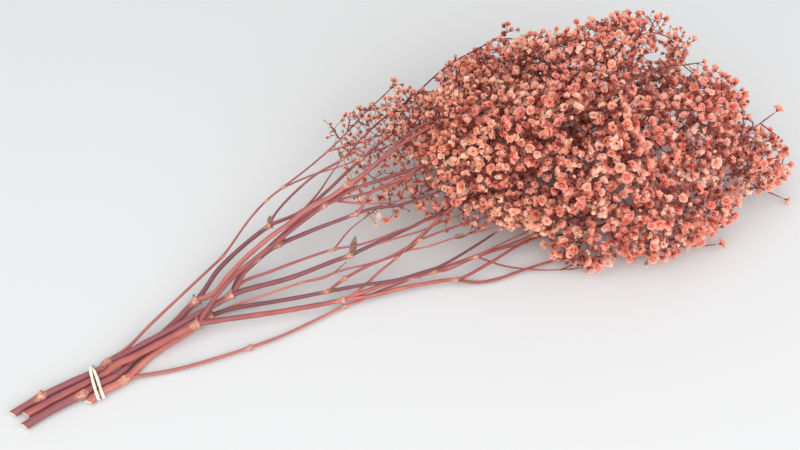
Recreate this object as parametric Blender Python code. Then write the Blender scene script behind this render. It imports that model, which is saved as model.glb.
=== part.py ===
"""A bunch of four dried gypsophila stems lying on a table, held by a rubber band wound twice.

Frame: origin on the table under the middle of the band, +X along the bunch from the cut ends
to the head, +Z up. Sizes are in millimetres until make_object turns them into metres.
"""

import math

import bpy
import numpy as np

MM = 0.001

# The four stems where the band holds them, side by side: distance across and radius
BAND_STEM_GAP = 0.3
BAND_THICK = 1.0
BAND_WIDE = 2.0
BAND_SHIFT = 1.65
BAND_MIDDLE_X = -1.63
BAND_CROSSING_UP = 3.0
BAND_CROSSING_LIFT = 1.35
BAND_STATIONS = 48
STEM_BOTTOM = BAND_THICK + BAND_STEM_GAP
# the stems inside the band, as they enter and leave it: across, radius
BAND_STEMS = ((6.7, 2.5), (7.4, 2.5), (1.5, 2.5), (2.2, 2.5), (-4.1, 2.7), (-3.1, 2.7), (-10.4, 2.6), (-9.0, 2.6))

# Routes: name, parent route, radius at the start and at the end, points along the axis.
# A child starts on its parent's axis. Read off the photograph, in millimetres.
STEMS = {
    "stem_back": [
        ("main", None, 2.45, 2.15, [(-57, -1.5, 3), (-36, 2.8, 3.6), (-20, 4.8, 3.7), (-4, 6.7, 3.8),
         (0, 7.2, 3.8), (4, 7.6, 3.8), (9.5, 8.3, 4.7), (14, 8.9, 5.9), (20, 9.3, 7.4), (27, 9.9, 8.8),
         (40, 11.5, 9.8), (59, 14.7, 10.3), (80, 18.7, 11.2), (101, 23, 12)]),
        ("left", "main", 1.15, 0.9, [(9.5, 8.3, 4.7), (23, 14, 6.5), (43, 24, 9), (76, 40, 12), (95, 49, 14),
         (105, 54, 15), (133, 74, 20), (149, 83, 22), (163, 87, 25), (184, 93, 29), (202, 99, 33),
         (218, 106, 36), (238, 116, 40), (258, 125, 43)]),
        ("left_b", "left", 0.75, 0.65, [(162, 86, 25), (186, 89, 25), (210, 86, 28), (237, 83, 36)]),
        ("left_c", "left", 0.8, 0.65, [(202, 99, 33), (223, 94, 38), (249, 89, 44), (275, 80, 54)]),
        ("mid_a", "main", 1.9, 1.2, [(101, 23, 12), (109, 32, 14), (121, 38, 16), (136, 43, 19), (144, 44, 20),
         (159, 44, 22), (174, 43, 25), (201, 41, 29), (212, 38, 33), (228, 30, 38), (255, 21, 50),
         (282, 14, 60)]),
        ("mid_b", "mid_a", 1.2, 0.9, [(201, 41, 29), (205, 42, 32), (211, 46, 36), (219, 47, 41),
         (235, 41, 52), (254, 36, 68)]),
        ("mid_c", "mid_a", 1.3, 0.8, [(144, 44, 20), (157, 53, 24), (173, 56, 27), (191, 56, 31),
         (211, 50, 36), (235, 43, 48), (272, 40, 66), (301, 39, 80)]),
        ("mid_d", "mid_c", 0.9, 0.65, [(191, 56, 31), (207, 45, 33), (227, 37, 34), (250, 33, 38)]),
        ("low_a", "main", 1.2, 0.9, [(101, 23, 12), (111, 29, 13), (130, 29, 14), (154, 29, 15), (178, 27, 17),
         (192, 22, 20), (204, 19, 23), (224, 17, 27), (256, 11, 36)]),
        ("low_b", "low_a", 0.75, 0.65, [(178, 27, 17), (192, 33, 24), (207, 38, 26)]),
        ("low_c", "main", 1.9, 1.2, [(101, 23, 12), (110, 23, 12), (143, 20, 12), (175, 21, 12),
         (188, 21, 12), (203, 21, 15), (228, 21, 19), (254, 17, 30), (289, 11, 46), (316, 5, 62)]),
        ("low_d", "low_c", 0.9, 0.65, [(203, 21, 15), (227, 18, 17), (239, 16, 19), (260, 13, 26), (288, 6, 36)]),
        ("up", "main", 1.5, 1.1, [(101, 23, 12), (115, 34, 17), (126, 39, 20), (153, 49, 27), (171, 54, 31),
         (188, 54, 36), (205, 58, 40), (230, 63, 50), (255, 68, 62), (280, 60, 78), (316, 56, 92)]),
    ],
    "stem_middle": [
        ("main", None, 2.5, 2.3, [(-49, -6.2, 4), (-29, -2.4, 4.1), (-14, 0, 3.9), (-4, 1.5, 3.8), (0, 2, 3.8),
         (4, 2.5, 3.9), (9, 2.8, 5.4), (14, 3.1, 7.2), (20, 3.7, 8.6), (27, 4.6, 9.3), (38, 6.3, 10.1),
         (54, 8.4, 10.5), (73, 11, 11)]),
        ("low_a", "main", 2.0, 1.6, [(73, 11, 11), (96, 6, 10), (127, -1, 9), (154, -6, 8), (171, -9, 8)]),
        ("low_b", "low_a", 1.1, 0.9, [(171, -9, 8), (183, -7, 10), (190, -4, 10), (203, 1, 12), (216, 5, 14),
         (230, 9, 19), (244, 11, 28), (267, 12, 45)]),
        ("low_c", "low_a", 1.4, 1.1, [(171, -9, 8), (187, -9, 9), (200, -9, 9), (220, -12, 10), (237, -14, 10),
         (252, -14, 11), (268, -15, 12), (298, -16, 13), (314, -17, 15), (333, -18, 16), (349, -25, 17),
         (364, -33, 18), (385, -45, 16), (398, -58, 14)]),
        ("low_d", "low_c", 1.1, 0.8, [(314, -17, 15), (342, -20, 25), (362, -14, 47), (382, -8, 65), (401, 2, 80)]),
        ("low_e", "low_c", 0.75, 0.65, [(268, -15, 12), (284, -26, 6), (297, -34, 5), (310, -40, 4), (328, -47, 4)]),
        ("low_f", "low_c", 0.8, 0.65, [(268, -15, 12), (292, -15, 17), (308, -15, 20), (325, -15, 27)]),
        ("low_g", "low_a", 1.5, 1.2, [(171, -9, 8), (189, -12, 6), (212, -15, 6), (245, -22, 6), (249, -24, 6),
         (276, -22, 9), (297, -18, 10), (314, -17, 10), (338, -24, 12), (367, -29, 16)]),
        ("low_h", "low_g", 1.2, 0.8, [(249, -24, 6), (263, -30, 3), (277, -33, 3), (296, -34, 4), (323, -37, 5),
         (337, -42, 5), (357, -48, 5), (374, -50, 5), (401, -58, 4), (424, -67, 4)]),
        ("low_i", "low_h", 0.8, 0.65, [(323, -37, 5), (328, -35, 6), (338, -29, 9), (348, -26, 11), (359, -29, 15)]),
        ("low_j", "low_h", 0.8, 0.65, [(374, -50, 5), (396, -50, 8), (414, -49, 13), (432, -51, 20)]),
        ("right_a", "low_c", 1.2, 0.8, [(342, -22, 17), (362, -22, 32), (384, -21, 40), (406, -18, 42),
         (420, -21, 41), (434, -22, 46), (451, -25, 52), (471, -25, 60), (488, -22, 64)]),
        ("right_b", "right_a", 0.9, 0.65, [(420, -21, 41), (455, -25, 22), (475, -28, 14), (483, -34, 9),
         (494, -47, 6)]),
        ("up", "main", 1.7, 0.9, [(73, 11, 11), (88, 21, 17), (104, 29, 22), (119, 34, 25), (141, 41, 28),
         (162, 48, 31), (182, 52, 36), (202, 54, 40), (222, 51, 44), (241, 44, 52), (269, 34, 66),
         (302, 27, 82), (331, 18, 93), (364, 11, 97), (400, 0, 92), (419, -5, 88), (445, -11, 80)]),
        ("up_b", "up", 0.8, 0.65, [(364, 11, 97), (386, 17, 100), (415, 26, 98), (450, 26, 90)]),
        ("up_c", "up", 0.8, 0.65, [(419, -5, 88), (435, -16, 78), (453, -27, 66)]),
    ],
    "stem_crossing": [
        ("main", None, 2.7, 2.3, [(-52, -13, 3.2), (-34, -9, 3.6), (-17, -6.6, 4), (-11, -5.4, 4), (-4, -4.1, 4),
         (0, -3.3, 4), (4, -2.9, 3.9), (9, -2.1, 3.5), (14.5, 0, 3.2), (20, 2.9, 3.1), (26, 6, 3.1),
         (32, 9.2, 3.1), (47, 16.5, 3.4), (61, 23, 4.8), (70, 27.5, 6.5), (78, 31, 8)]),
        ("far_a", "main", 1.8, 1.5, [(78, 31, 8), (84, 35, 9), (98, 45, 13), (115, 53, 16), (130, 58, 19),
         (143, 61, 22)]),
        ("far_b", "far_a", 1.0, 0.8, [(143, 61, 22), (148, 66, 24), (162, 74, 27), (186, 82, 33), (208, 84, 38),
         (225, 92, 42), (244, 100, 46), (267, 105, 51), (307, 119, 60), (330, 120, 66), (348, 122, 69)]),
        ("far_c", "far_a", 1.4, 1.0, [(143, 61, 22), (168, 62, 24), (190, 69, 28), (208, 75, 34), (221, 78, 39),
         (235, 81, 45), (253, 81, 54), (275, 81, 64), (306, 80, 76)]),
        ("far_d", "far_c", 0.9, 0.7, [(168, 62, 24), (183, 70, 27), (197, 79, 32), (206, 84, 36)]),
        ("up", "main", 1.9, 1.0, [(78, 31, 8), (90, 29, 12), (103, 35, 17), (119, 41, 23), (137, 45, 30),
         (153, 47, 36), (171, 52, 40), (186, 52, 43), (200, 55, 46), (215, 57, 50), (226, 59, 55),
         (247, 63, 62), (272, 63, 70), (300, 56, 78), (331, 44, 86), (360, 40, 91), (391, 44, 94),
         (413, 58, 96), (424, 67, 96)]),
        ("up_b", "up", 0.9, 0.65, [(331, 44, 86), (351, 58, 90), (369, 74, 90)]),
        ("up_c", "up", 0.8, 0.65, [(391, 44, 94), (415, 29, 97), (432, 15, 91), (446, 8, 86)]),
        ("up_d", "up", 0.8, 0.65, [(413, 58, 96), (438, 60, 95), (451, 51, 92)]),
    ],
    "stem_front": [
        ("main", None, 2.6, 2.0, [(-10, -13, 3.5), (-4, -10.4, 3.9), (0, -9.2, 3.9), (4, -8.4, 3.9),
         (9, -7.5, 3.9), (16, -5.2, 3.8), (23, -1.9, 3.1), (31, 2.2, 2.8), (48, 8, 2.8), (62, 11, 3),
         (75, 16, 3.2), (84, 18, 4)]),
        ("near", "main", 1.3, 1.0, [(16, -5.2, 3.8), (23, -7, 3.4), (45, -11, 2), (65, -14, 3), (100, -16, 3),
         (121, -16, 3), (144, -14, 3), (170, -11, 3), (182, -11, 2.6), (197, -9, 2.6), (213, -9, 3),
         (227, -10, 4.5), (238, -12, 5.5), (248, -14, 6), (263, -13, 6.5), (287, -14, 8), (309, -17, 9)]),
        ("low_a", "main", 1.6, 1.2, [(84, 18, 4), (99, 16, 6), (123, 10, 7), (144, 5, 8), (163, 1, 9),
         (187, -7, 14), (208, -12, 14), (226, -14, 15), (240, -15, 16), (267, -12, 20), (290, -9, 25),
         (307, -10, 30), (332, -14, 36)]),
        ("low_b", "low_a", 1.2, 0.9, [(163, 1, 9), (169, 3, 10), (177, 5, 11), (194, 7, 13), (213, 6, 16),
         (235, 7, 22), (256, 4, 28), (290, -4, 38)]),
        ("low_c", "main", 0.9, 0.8, [(84, 18, 4), (104, 18, 6), (133, 16, 8), (149, 15, 9), (162, 13, 10),
         (180, 12, 11), (198, 9, 12), (216, 8, 12), (224, 8, 13), (239, 3, 17), (259, 1, 19),
         (290, -7, 27), (319, -9, 38)]),
        ("low_d", "low_c", 0.8, 0.65, [(224, 8, 13), (230, 8, 16), (250, 14, 26), (271, 14, 42)]),
        ("low_e", "low_c", 0.7, 0.6, [(149, 15, 9), (167, 12, 10), (184, 19, 9)]),
    ],
}
STEM_NAMES = list(STEMS)

# Joints of the stems, swollen as in the photograph: stem, route, distance along it as a point index
KNOTS = {
    "stem_back": {"main": [1, 6, 13], "left": [5, 7, 8, 10], "mid_a": [4, 7], "mid_c": [3], "low_a": [4],
                  "low_c": [4], "up": [2, 6]},
    "stem_middle": {"main": [12], "low_a": [4], "low_b": [4], "low_c": [3, 4, 6, 8], "low_g": [4], "low_h": [4, 7],
                    "right_a": [3], "right_b": [1], "up": [6, 14]},
    "stem_crossing": {"main": [3, 15], "far_a": [5], "far_b": [4], "far_c": [1, 4], "up": [8, 14]},
    "stem_front": {"main": [5, 11], "near": [4, 7, 11], "low_a": [4, 10], "low_b": [2, 5], "low_c": [3, 8]},
}

# Small leaves left at some joints: stem, base, direction, length, width
BRACTS = [
    (0, (189, 22, 12.5), (6, 7, 9), 14, 3.4),
    (0, (188, 21, 12), (8, -3, 3), 8, 2.4),
    (0, (144, 44, 20.5), (2, 6, 4), 6, 2.2),
    (1, (314, -17, 15), (9, 6, 5), 13, 3.0),
    (1, (323, -37, 5.5), (3, 4, 5), 7, 2.4),
    (1, (249, -24, 6.5), (7, -4, 3), 6, 2.4),
    (2, (143, 61, 22.5), (3, 7, 3), 7, 2.6),
    (2, (208, 84, 38), (-2, 5, 6), 7, 2.4),
    (3, (259, 1, 19), (8, -3, 1.5), 9, 3.0),
    (3, (163, 1, 9.5), (5, -5, 3), 6, 2.4),
]
BRACT_THICK = 0.9
KNOT_SWELL = 0.46
KNOT_REACH_BEFORE = 4.2
KNOT_REACH_AFTER = 2.0

# The head of the bunch as overlapping ellipsoids: centre, half axes
LOBES = [
    ((232, 106, 38), (26, 20, 13)),
    ((228, 66, 32), (24, 30, 13)),
    ((232, 36, 28), (22, 14, 11)),
    ((270, 88, 46), (30, 26, 20)),
    ((260, 34, 36), (34, 20, 18)),
    ((306, 44, 56), (60, 46, 40)),
    ((333, 92, 56), (46, 30, 26)),
    ((345, 70, 30), (62, 46, 30)),
    ((350, 14, 56), (70, 50, 48)),
    ((376, 62, 82), (50, 34, 24)),
    ((418, 56, 82), (46, 34, 24)),
    ((432, 4, 56), (52, 44, 44)),
    ((480, -30, 32), (28, 25, 26)),
    ((404, -42, 30), (54, 30, 30)),
    ((347, -38, 18), (32, 18, 18)),
    ((282, 14, 26), (34, 16, 15)),
]
TARGET_GAP = 19.4
FLORET_R = 5.2
FLORET_HIGH = 5.6
TWIG_R = 0.62
CLEAR = 0.6


def smooth(points, step):
    """Centripetal curve through the points: positions and the share of each point index."""
    p = np.array(points, float)
    p = np.vstack([2 * p[0] - p[1], p, 2 * p[-1] - p[-2]])
    out, share = [], []
    for i in range(1, len(p) - 2):
        a, b, c, d = p[i - 1 : i + 3]
        t1 = max(np.linalg.norm(b - a), 1e-3) ** 0.5
        t2 = t1 + max(np.linalg.norm(c - b), 1e-3) ** 0.5
        t3 = t2 + max(np.linalg.norm(d - c), 1e-3) ** 0.5
        n = max(2, int(round(np.linalg.norm(c - b) / step)))
        for k in range(n + (i == len(p) - 3)):
            t = t1 + (t2 - t1) * k / n
            ab = a + (b - a) * (t / t1)
            bc = b + (c - b) * ((t - t1) / (t2 - t1))
            cd = c + (d - c) * ((t - t2) / (t3 - t2))
            abc = ab + (bc - ab) * (t / t2)
            bcd = bc + (cd - bc) * ((t - t1) / (t3 - t1))
            out.append(abc + (bcd - abc) * ((t - t1) / (t2 - t1)))
            share.append(i - 1 + k / n)
    return np.array(out), np.array(share)


def lengths(points):
    return np.concatenate([[0.0], np.cumsum(np.linalg.norm(np.diff(points, axis=0), axis=1))])


def radii_along(points, share, r0, r1, knots):
    """The taper of a stem, swollen before each joint, less so in the tied part."""
    run = lengths(points)
    r = r0 + (r1 - r0) * run / run[-1]
    for k in knots:
        d = run - np.interp(k, share, run)
        size = min(1.0, 0.35 + 0.3 * np.interp(k, share, r))
        reach = np.where(d < 0, KNOT_REACH_BEFORE, KNOT_REACH_AFTER) * size
        tied = abs(np.interp(k, share, points[:, 0])) < 20
        r = r * (1 + KNOT_SWELL * (0.5 if tied else 1.0) * np.exp(-((d / reach) ** 2)))
    return r


def segment_gaps(a0, a1, b0, b1):
    """Shortest distance between segments a and b, row by row, with the places along each."""
    u, v, w = a1 - a0, b1 - b0, a0 - b0
    a = np.einsum("ij,ij->i", u, u) + 1e-12
    b = np.einsum("ij,ij->i", u, v)
    c = np.einsum("ij,ij->i", v, v) + 1e-12
    d = np.einsum("ij,ij->i", u, w)
    e = np.einsum("ij,ij->i", v, w)
    s = np.clip((b * e - c * d) / np.maximum(a * c - b * b, 1e-9), 0, 1)
    t = np.clip((b * s + e) / c, 0, 1)
    s = np.clip((b * t - d) / a, 0, 1)
    apart = (a0 + u * s[:, None]) - (b0 + v * t[:, None])
    return np.linalg.norm(apart, axis=1), s, t, apart


def part_routes(stems, rounds=60, want=0.7):
    """Nudges the routes of different stems apart where they'd cross too closely."""
    routes = []
    for n, name in enumerate(STEM_NAMES):
        for route, parent, r0, r1, points in stems[name]:
            routes.append([n, route, parent, r0, r1, np.array(points, float)])
    for turn in range(rounds):
        start, end, rad, stem, owner, where = [], [], [], [], [], []
        for k, (n, route, parent, r0, r1, points) in enumerate(routes):
            curve, share = smooth(points, 4)
            r = radii_along(curve, share, r0, r1, KNOTS[STEM_NAMES[n]].get(route, []))
            start.append(curve[:-1])
            end.append(curve[1:])
            rad.append(np.maximum(r[:-1], r[1:]))
            stem += [n] * (len(curve) - 1)
            owner += [k] * (len(curve) - 1)
            where.append((share[:-1] + share[1:]) / 2)
        start, end, rad, where = map(np.concatenate, (start, end, rad, where))
        stem, owner = np.array(stem), np.array(owner)
        mid = (start + end) / 2
        i, j = np.nonzero(
            (np.linalg.norm(mid[:, None] - mid[None], axis=2) < rad[:, None] + rad[None] + 5)
            & (stem[:, None] < stem[None])
        )
        gap, s, t, apart = segment_gaps(start[i], end[i], start[j], end[j])
        short = want + rad[i] + rad[j] - gap
        short[(np.abs(mid[i, 0]) < 9) | (np.abs(mid[j, 0]) < 9)] -= want - 0.25
        bad = short > 1e-3
        if not bad.any():
            break
        way = apart[bad] / np.maximum(gap[bad], 1e-6)[:, None]
        i, j, push = i[bad], j[bad], short[bad][:, None] * way * 0.5
        shift = [np.zeros_like(r[5]) for r in routes]
        count = [np.zeros(len(r[5])) for r in routes]
        for seg, move in ((i, push), (j, -push)):
            for q, m in zip(seg, move):
                at = where[q]
                for point, weight in ((int(at), 1 - at % 1), (int(at) + 1, at % 1)):
                    shift[owner[q]][point] += m * weight
                    count[owner[q]][point] += weight
        for k, r in enumerate(routes):
            points = r[5]
            step = shift[k] / np.maximum(count[k], 1)[:, None]
            step[np.abs(points[:, 0]) < 9] = 0
            points += step
            points[:, 2] = np.maximum(points[:, 2], max(r[3], r[4]) + 0.5)
        for r in routes:
            if r[2]:
                parent = next(q for q in routes if q[0] == r[0] and q[1] == r[2])
                line, _ = smooth(parent[5], 1)
                r[5][0] = line[np.argmin(np.linalg.norm(line - r[5][0], axis=1))]
    return routes


def inside(p, grow=1.0):
    return any(
        sum(((p[k] - c[k]) / (a[k] * grow)) ** 2 for k in range(3)) < 1 for c, a in LOBES
    )


def scatter(rng):
    """Places for the florets: evenly apart through the head, closer together near its skin."""
    found = []
    for near, skin, tries in ((TARGET_GAP, True, 9000), (TARGET_GAP * 1.15, False, 5000)):
        for _ in range(tries):
            centre, half = LOBES[rng.integers(len(LOBES))]
            ray = rng.normal(size=3)
            ray /= np.linalg.norm(ray)
            depth = 0.97 if skin else rng.random() ** (1 / 3)
            p = np.array(centre) + ray * np.array(half) * depth
            if skin and any(
                sum(((p[k] - c[k]) / (a[k] * 0.93)) ** 2 for k in range(3)) < 1
                for c, a in LOBES
            ):
                continue
            p[2] = max(p[2], FLORET_R)
            if found and np.min(np.linalg.norm(np.array(found) - p, axis=1)) < near:
                continue
            found.append(p)
    return np.array(found)


class Tree:
    """The pieces of all stems so far, as capsules, and the places where a twig can start."""

    def __init__(self):
        self.a, self.b, self.r, self.stem, self.bloom = [], [], [], [], []
        self.at, self.way, self.owner, self.depth, self.thick = [], [], [], [], []

    def capsule(self, a, b, r, stem, bloom=False):
        self.a.append(a)
        self.b.append(b)
        self.r.append(r)
        self.stem.append(stem)
        self.bloom.append(bloom)

    def place(self, at, way, stem, depth, thick):
        self.at.append(at)
        self.way.append(way)
        self.owner.append(stem)
        self.depth.append(depth)
        self.thick.append(thick)

    def free(self, pieces, ball, stem):
        """Whether a twig's capsules (a, b, r) and its floret keep clear of other stems and of its own florets."""
        a, b, r = np.array(self.a), np.array(self.b), np.array(self.r)
        mine = np.array(self.stem) == stem
        bloom = np.array(self.bloom)
        for k, (p, q, radius) in enumerate(pieces + [ball]):
            near = np.linalg.norm((a + b) / 2 - (p + q) / 2, axis=1) < 34
            if k == len(pieces):
                pass
            elif k == len(pieces) - 1:
                near &= ~mine | bloom
            else:
                near &= ~mine
            if k == len(pieces):
                # its own twig's parent may come close below the floret
                p = p + (q - p) * 0.4
            if not near.any():
                continue
            one = np.ones((near.sum(), 1))
            gap, *_ = segment_gaps(one * p, one * q, a[near], b[near])
            need = np.where(mine[near], 0.0, CLEAR)
            if (gap - r[near] - radius < need).any():
                return False
        return True


def bend(start, way, end, n=3):
    """A twig that leaves along the stem and turns to its floret."""
    d = np.linalg.norm(end - start)
    control = start + way * d * 0.42
    t = np.linspace(0, 1, n)[:, None]
    return (1 - t) ** 2 * start + 2 * t * (1 - t) * control + t**2 * end


def grow(routes, rng):
    """Joins each floret place to the nearest stem that it can reach without crossing another."""
    tree = Tree()
    for n, route, parent, r0, r1, points in routes:
        curve, share = smooth(points, 4)
        r = radii_along(curve, share, r0, r1, KNOTS[STEM_NAMES[n]].get(route, []))
        run = lengths(curve)
        for k in range(len(curve) - 1):
            tree.capsule(curve[k], curve[k + 1], max(r[k], r[k + 1]), n)
            if curve[k][0] > 165 and k > 1:
                way = curve[k + 1] - curve[k]
                tree.place(curve[k], way / np.linalg.norm(way), n, 0, r[k])
    twigs = []
    # the end of each route carries its own floret
    for n, route, parent, r0, r1, points in routes:
        if any(q[2] == route and q[0] == n and np.linalg.norm(q[5][0] - points[-1]) < 3 for q in routes):
            continue
        curve, _ = smooth(points, 4)
        way = curve[-1] - curve[-2]
        way /= np.linalg.norm(way)
        tip = curve[-1] + way * 8
        tip[2] = max(tip[2], FLORET_R + 0.2)
        ball = curve[-1] + (tip - curve[-1]) * 1.3
        if tree.free([(curve[-1], tip, TWIG_R)], (tip, ball, FLORET_R), n):
            twigs.append((n, np.array([curve[-1] - way * 2, tip]), min(r1, 0.9) * 0.9))
            tree.capsule(curve[-1], tip, r1, n)
            tree.capsule(tip, ball, FLORET_R, n, True)
    waiting = list(scatter(rng))
    done = [t[1][-1] for t in twigs]
    missed = 0
    while waiting:
        at, way = np.array(tree.at), np.array(tree.way)
        owner, depth, thick = np.array(tree.owner), np.array(tree.depth), np.array(tree.thick)
        best = None
        for w, target in enumerate(waiting):
            d = np.linalg.norm(at - target, axis=1)
            k = int(np.argmin(d))
            if best is None or d[k] < best[0]:
                best = (d[k], w)
        target = waiting.pop(best[1])
        if done and np.min(np.linalg.norm(np.array(done) - target, axis=1)) < TARGET_GAP * 0.7:
            continue
        offset = target - at
        d = np.linalg.norm(offset, axis=1)
        turn = 1 - np.einsum("ij,ij->i", offset / np.maximum(d, 1e-6)[:, None], way)
        cost = d * (1 + 0.55 * turn) + 5 * depth + (d < 9) * 12
        for k in np.argsort(cost)[:90]:
            if cost[k] > 75:
                break
            line = bend(at[k], way[k], target, 3 if d[k] > 17 else 2)
            line[:, 2] = np.maximum(line[:, 2], TWIG_R + 0.4)
            out = line[-1] - line[-2]
            out /= np.linalg.norm(out)
            ball = target + out * FLORET_HIGH * 0.45
            pieces = [(line[q], line[q + 1], TWIG_R) for q in range(len(line) - 1)]
            if tree.free(pieces, (target, ball, FLORET_R), int(owner[k])):
                n = int(owner[k])
                twigs.append((n, line, TWIG_R))
                done.append(target)
                for p, q, r in pieces:
                    tree.capsule(p, q, r, n)
                tree.capsule(target, ball, FLORET_R, n, True)
                if depth[k] < 3:
                    tree.place(line[-2] + (target - line[-2]) * 0.5, out, n, depth[k] + 1, TWIG_R)
                    if len(line) > 2:
                        tree.place(line[1], out, n, depth[k] + 1, TWIG_R)
                break
        else:
            missed += 1
    print("places without a way in", missed)
    return twigs


def simplify(points, radii, within):
    """Leaves out the stations that the curve and the taper don't need."""
    rows = np.column_stack([points, radii * 1.6])
    keep = {0, len(rows) - 1}
    spans = [(0, len(rows) - 1)]
    while spans:
        i, j = spans.pop()
        if j - i < 2:
            continue
        line = rows[j] - rows[i]
        t = np.clip((rows[i + 1 : j] - rows[i]) @ line / (line @ line), 0, 1)
        off = np.linalg.norm(rows[i + 1 : j] - rows[i] - t[:, None] * line, axis=1)
        k = int(np.argmax(off))
        if off[k] > within:
            keep.add(i + 1 + k)
            spans += [(i, i + 1 + k), (i + 1 + k, j)]
    index = sorted(keep)
    return points[index], radii[index]


def frames(points):
    """A tangent and two cross directions at each point, carried along without twisting."""
    way = np.gradient(points, axis=0)
    way /= np.linalg.norm(way, axis=1)[:, None]
    side = np.cross(way[0], [0.0, 0.0, 1.0] if abs(way[0][2]) < 0.9 else [1.0, 0.0, 0.0])
    sides = []
    for w in way:
        side = side - w * (side @ w)
        side /= np.linalg.norm(side)
        sides.append(side)
    sides = np.array(sides)
    return way, sides, np.cross(way, sides)


def tube(points, radii, count, slant=0.0):
    way, side, up = frames(points)
    turn = np.arange(count) * 2 * math.pi / count
    ring = np.cos(turn)[None, :, None] * side[:, None] + np.sin(turn)[None, :, None] * up[:, None]
    verts = points[:, None] + ring * radii[:, None, None]
    verts[0] += way[0] * (ring[0] @ side[0])[:, None] * slant
    verts = verts.reshape(-1, 3)
    faces = []
    for k in range(len(points) - 1):
        for q in range(count):
            a, b = k * count + q, k * count + (q + 1) % count
            faces.append((a, b, b + count, a + count))
    faces.append(tuple(range(count))[::-1])
    last = (len(points) - 1) * count
    faces.append(tuple(last + q for q in range(count)))
    return verts, faces


def twig_and_floret(line, radius, rest, spin):
    """One twig with its floret: a three-sided tube that opens into a five-lobed cup with a domed top."""
    way, side, up = frames(line)
    ahead = np.diff(line, axis=0)
    ahead /= np.linalg.norm(ahead, axis=1)[:, None]
    verts, faces = [], []
    turn = np.arange(3) * 2 * math.pi / 3 + spin
    ring = radius * (np.cos(turn)[:, None] * side[0] + np.sin(turn)[:, None] * up[0])
    verts += list(line[0] + ring)
    for k in range(1, len(line)):
        # mitred, so that the sides stay flat
        ring = ring - ahead[k - 1] * ((ring @ way[k]) / (ahead[k - 1] @ way[k]))[:, None]
        verts += list(line[k] + ring)
    for k in range(len(line) - 1):
        for q in range(3):
            a, b = 3 * k + q, 3 * k + (q + 1) % 3
            faces.append((a, b, b + 3, a + 3))
    faces.append((2, 1, 0))
    base = 3 * (len(line) - 1)
    out, tip = way[-1], line[-1]
    first = len(verts)
    for q in range(10):
        a = q * math.pi / 5 + spin
        lobe = q % 2 == 0
        r = FLORET_R if lobe else FLORET_R * 0.66
        high = FLORET_HIGH * (0.62 if lobe else 0.5)
        verts.append(tip + out * high + (math.cos(a) * side[-1] + math.sin(a) * up[-1]) * r)
    verts.append(tip + out * FLORET_HIGH)
    verts = np.array(verts)
    i, j = 0, 0
    while i < 3 or j < 10:
        if j < 10 and (i == 3 or (j + 1) / 10 <= (i + 1) / 3):
            faces.append((base + i % 3, first + (j + 1) % 10, first + j % 10))
            j += 1
        else:
            faces.append((base + i % 3, base + (i + 1) % 3, first + j % 10))
            i += 1
    for q in range(10):
        faces.append((first + q, first + (q + 1) % 10, first + 10))
    low = verts[:, 2].min()
    if rest or low < 0:
        verts[first - 3 :, 2] -= low
    return verts, faces


def bract(base, out, up, long, wide):
    """A small pointed leaf, a diamond in section, thick enough to hold its shape."""
    out = out / np.linalg.norm(out)
    side = np.cross(out, up)
    side /= np.linalg.norm(side)
    up = np.cross(side, out)
    verts = [base - out * 0.6]
    for share, w in ((0.18, 0.6), (0.5, 1.0), (0.8, 0.6)):
        middle = base + out * long * share + up * long * 0.12 * share**2
        for a, h in ((w * wide / 2, 0), (0, BRACT_THICK / 2), (-w * wide / 2, 0), (0, -BRACT_THICK / 2)):
            verts.append(middle + side * a + up * h)
    verts.append(base + out * long + up * long * 0.12)
    faces = [(0, 1 + (q + 1) % 4, 1 + q) for q in range(4)]
    for k in range(2):
        for q in range(4):
            a, b = 1 + 4 * k + q, 1 + 4 * k + (q + 1) % 4
            faces.append((a, b, b + 4, a + 4))
    faces += [(9 + q, 9 + (q + 1) % 4, 13) for q in range(4)]
    return np.array(verts), faces


def make_object(name, verts, faces, collection):
    mesh = bpy.data.meshes.new(name)
    mesh.from_pydata([tuple(v * MM) for v in np.asarray(verts)], [], faces)
    mesh.validate()
    obj = bpy.data.objects.new(name, mesh)
    collection.objects.link(obj)
    return obj


def outward(verts, faces):
    """Turns the faces round when the closed mesh they make is inside out."""
    volume = 0.0
    for f in faces:
        for k in range(1, len(f) - 1):
            volume += np.dot(verts[f[0]], np.cross(verts[f[k]], verts[f[k + 1]]))
    return faces if volume > 0 else [f[::-1] for f in faces]


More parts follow.
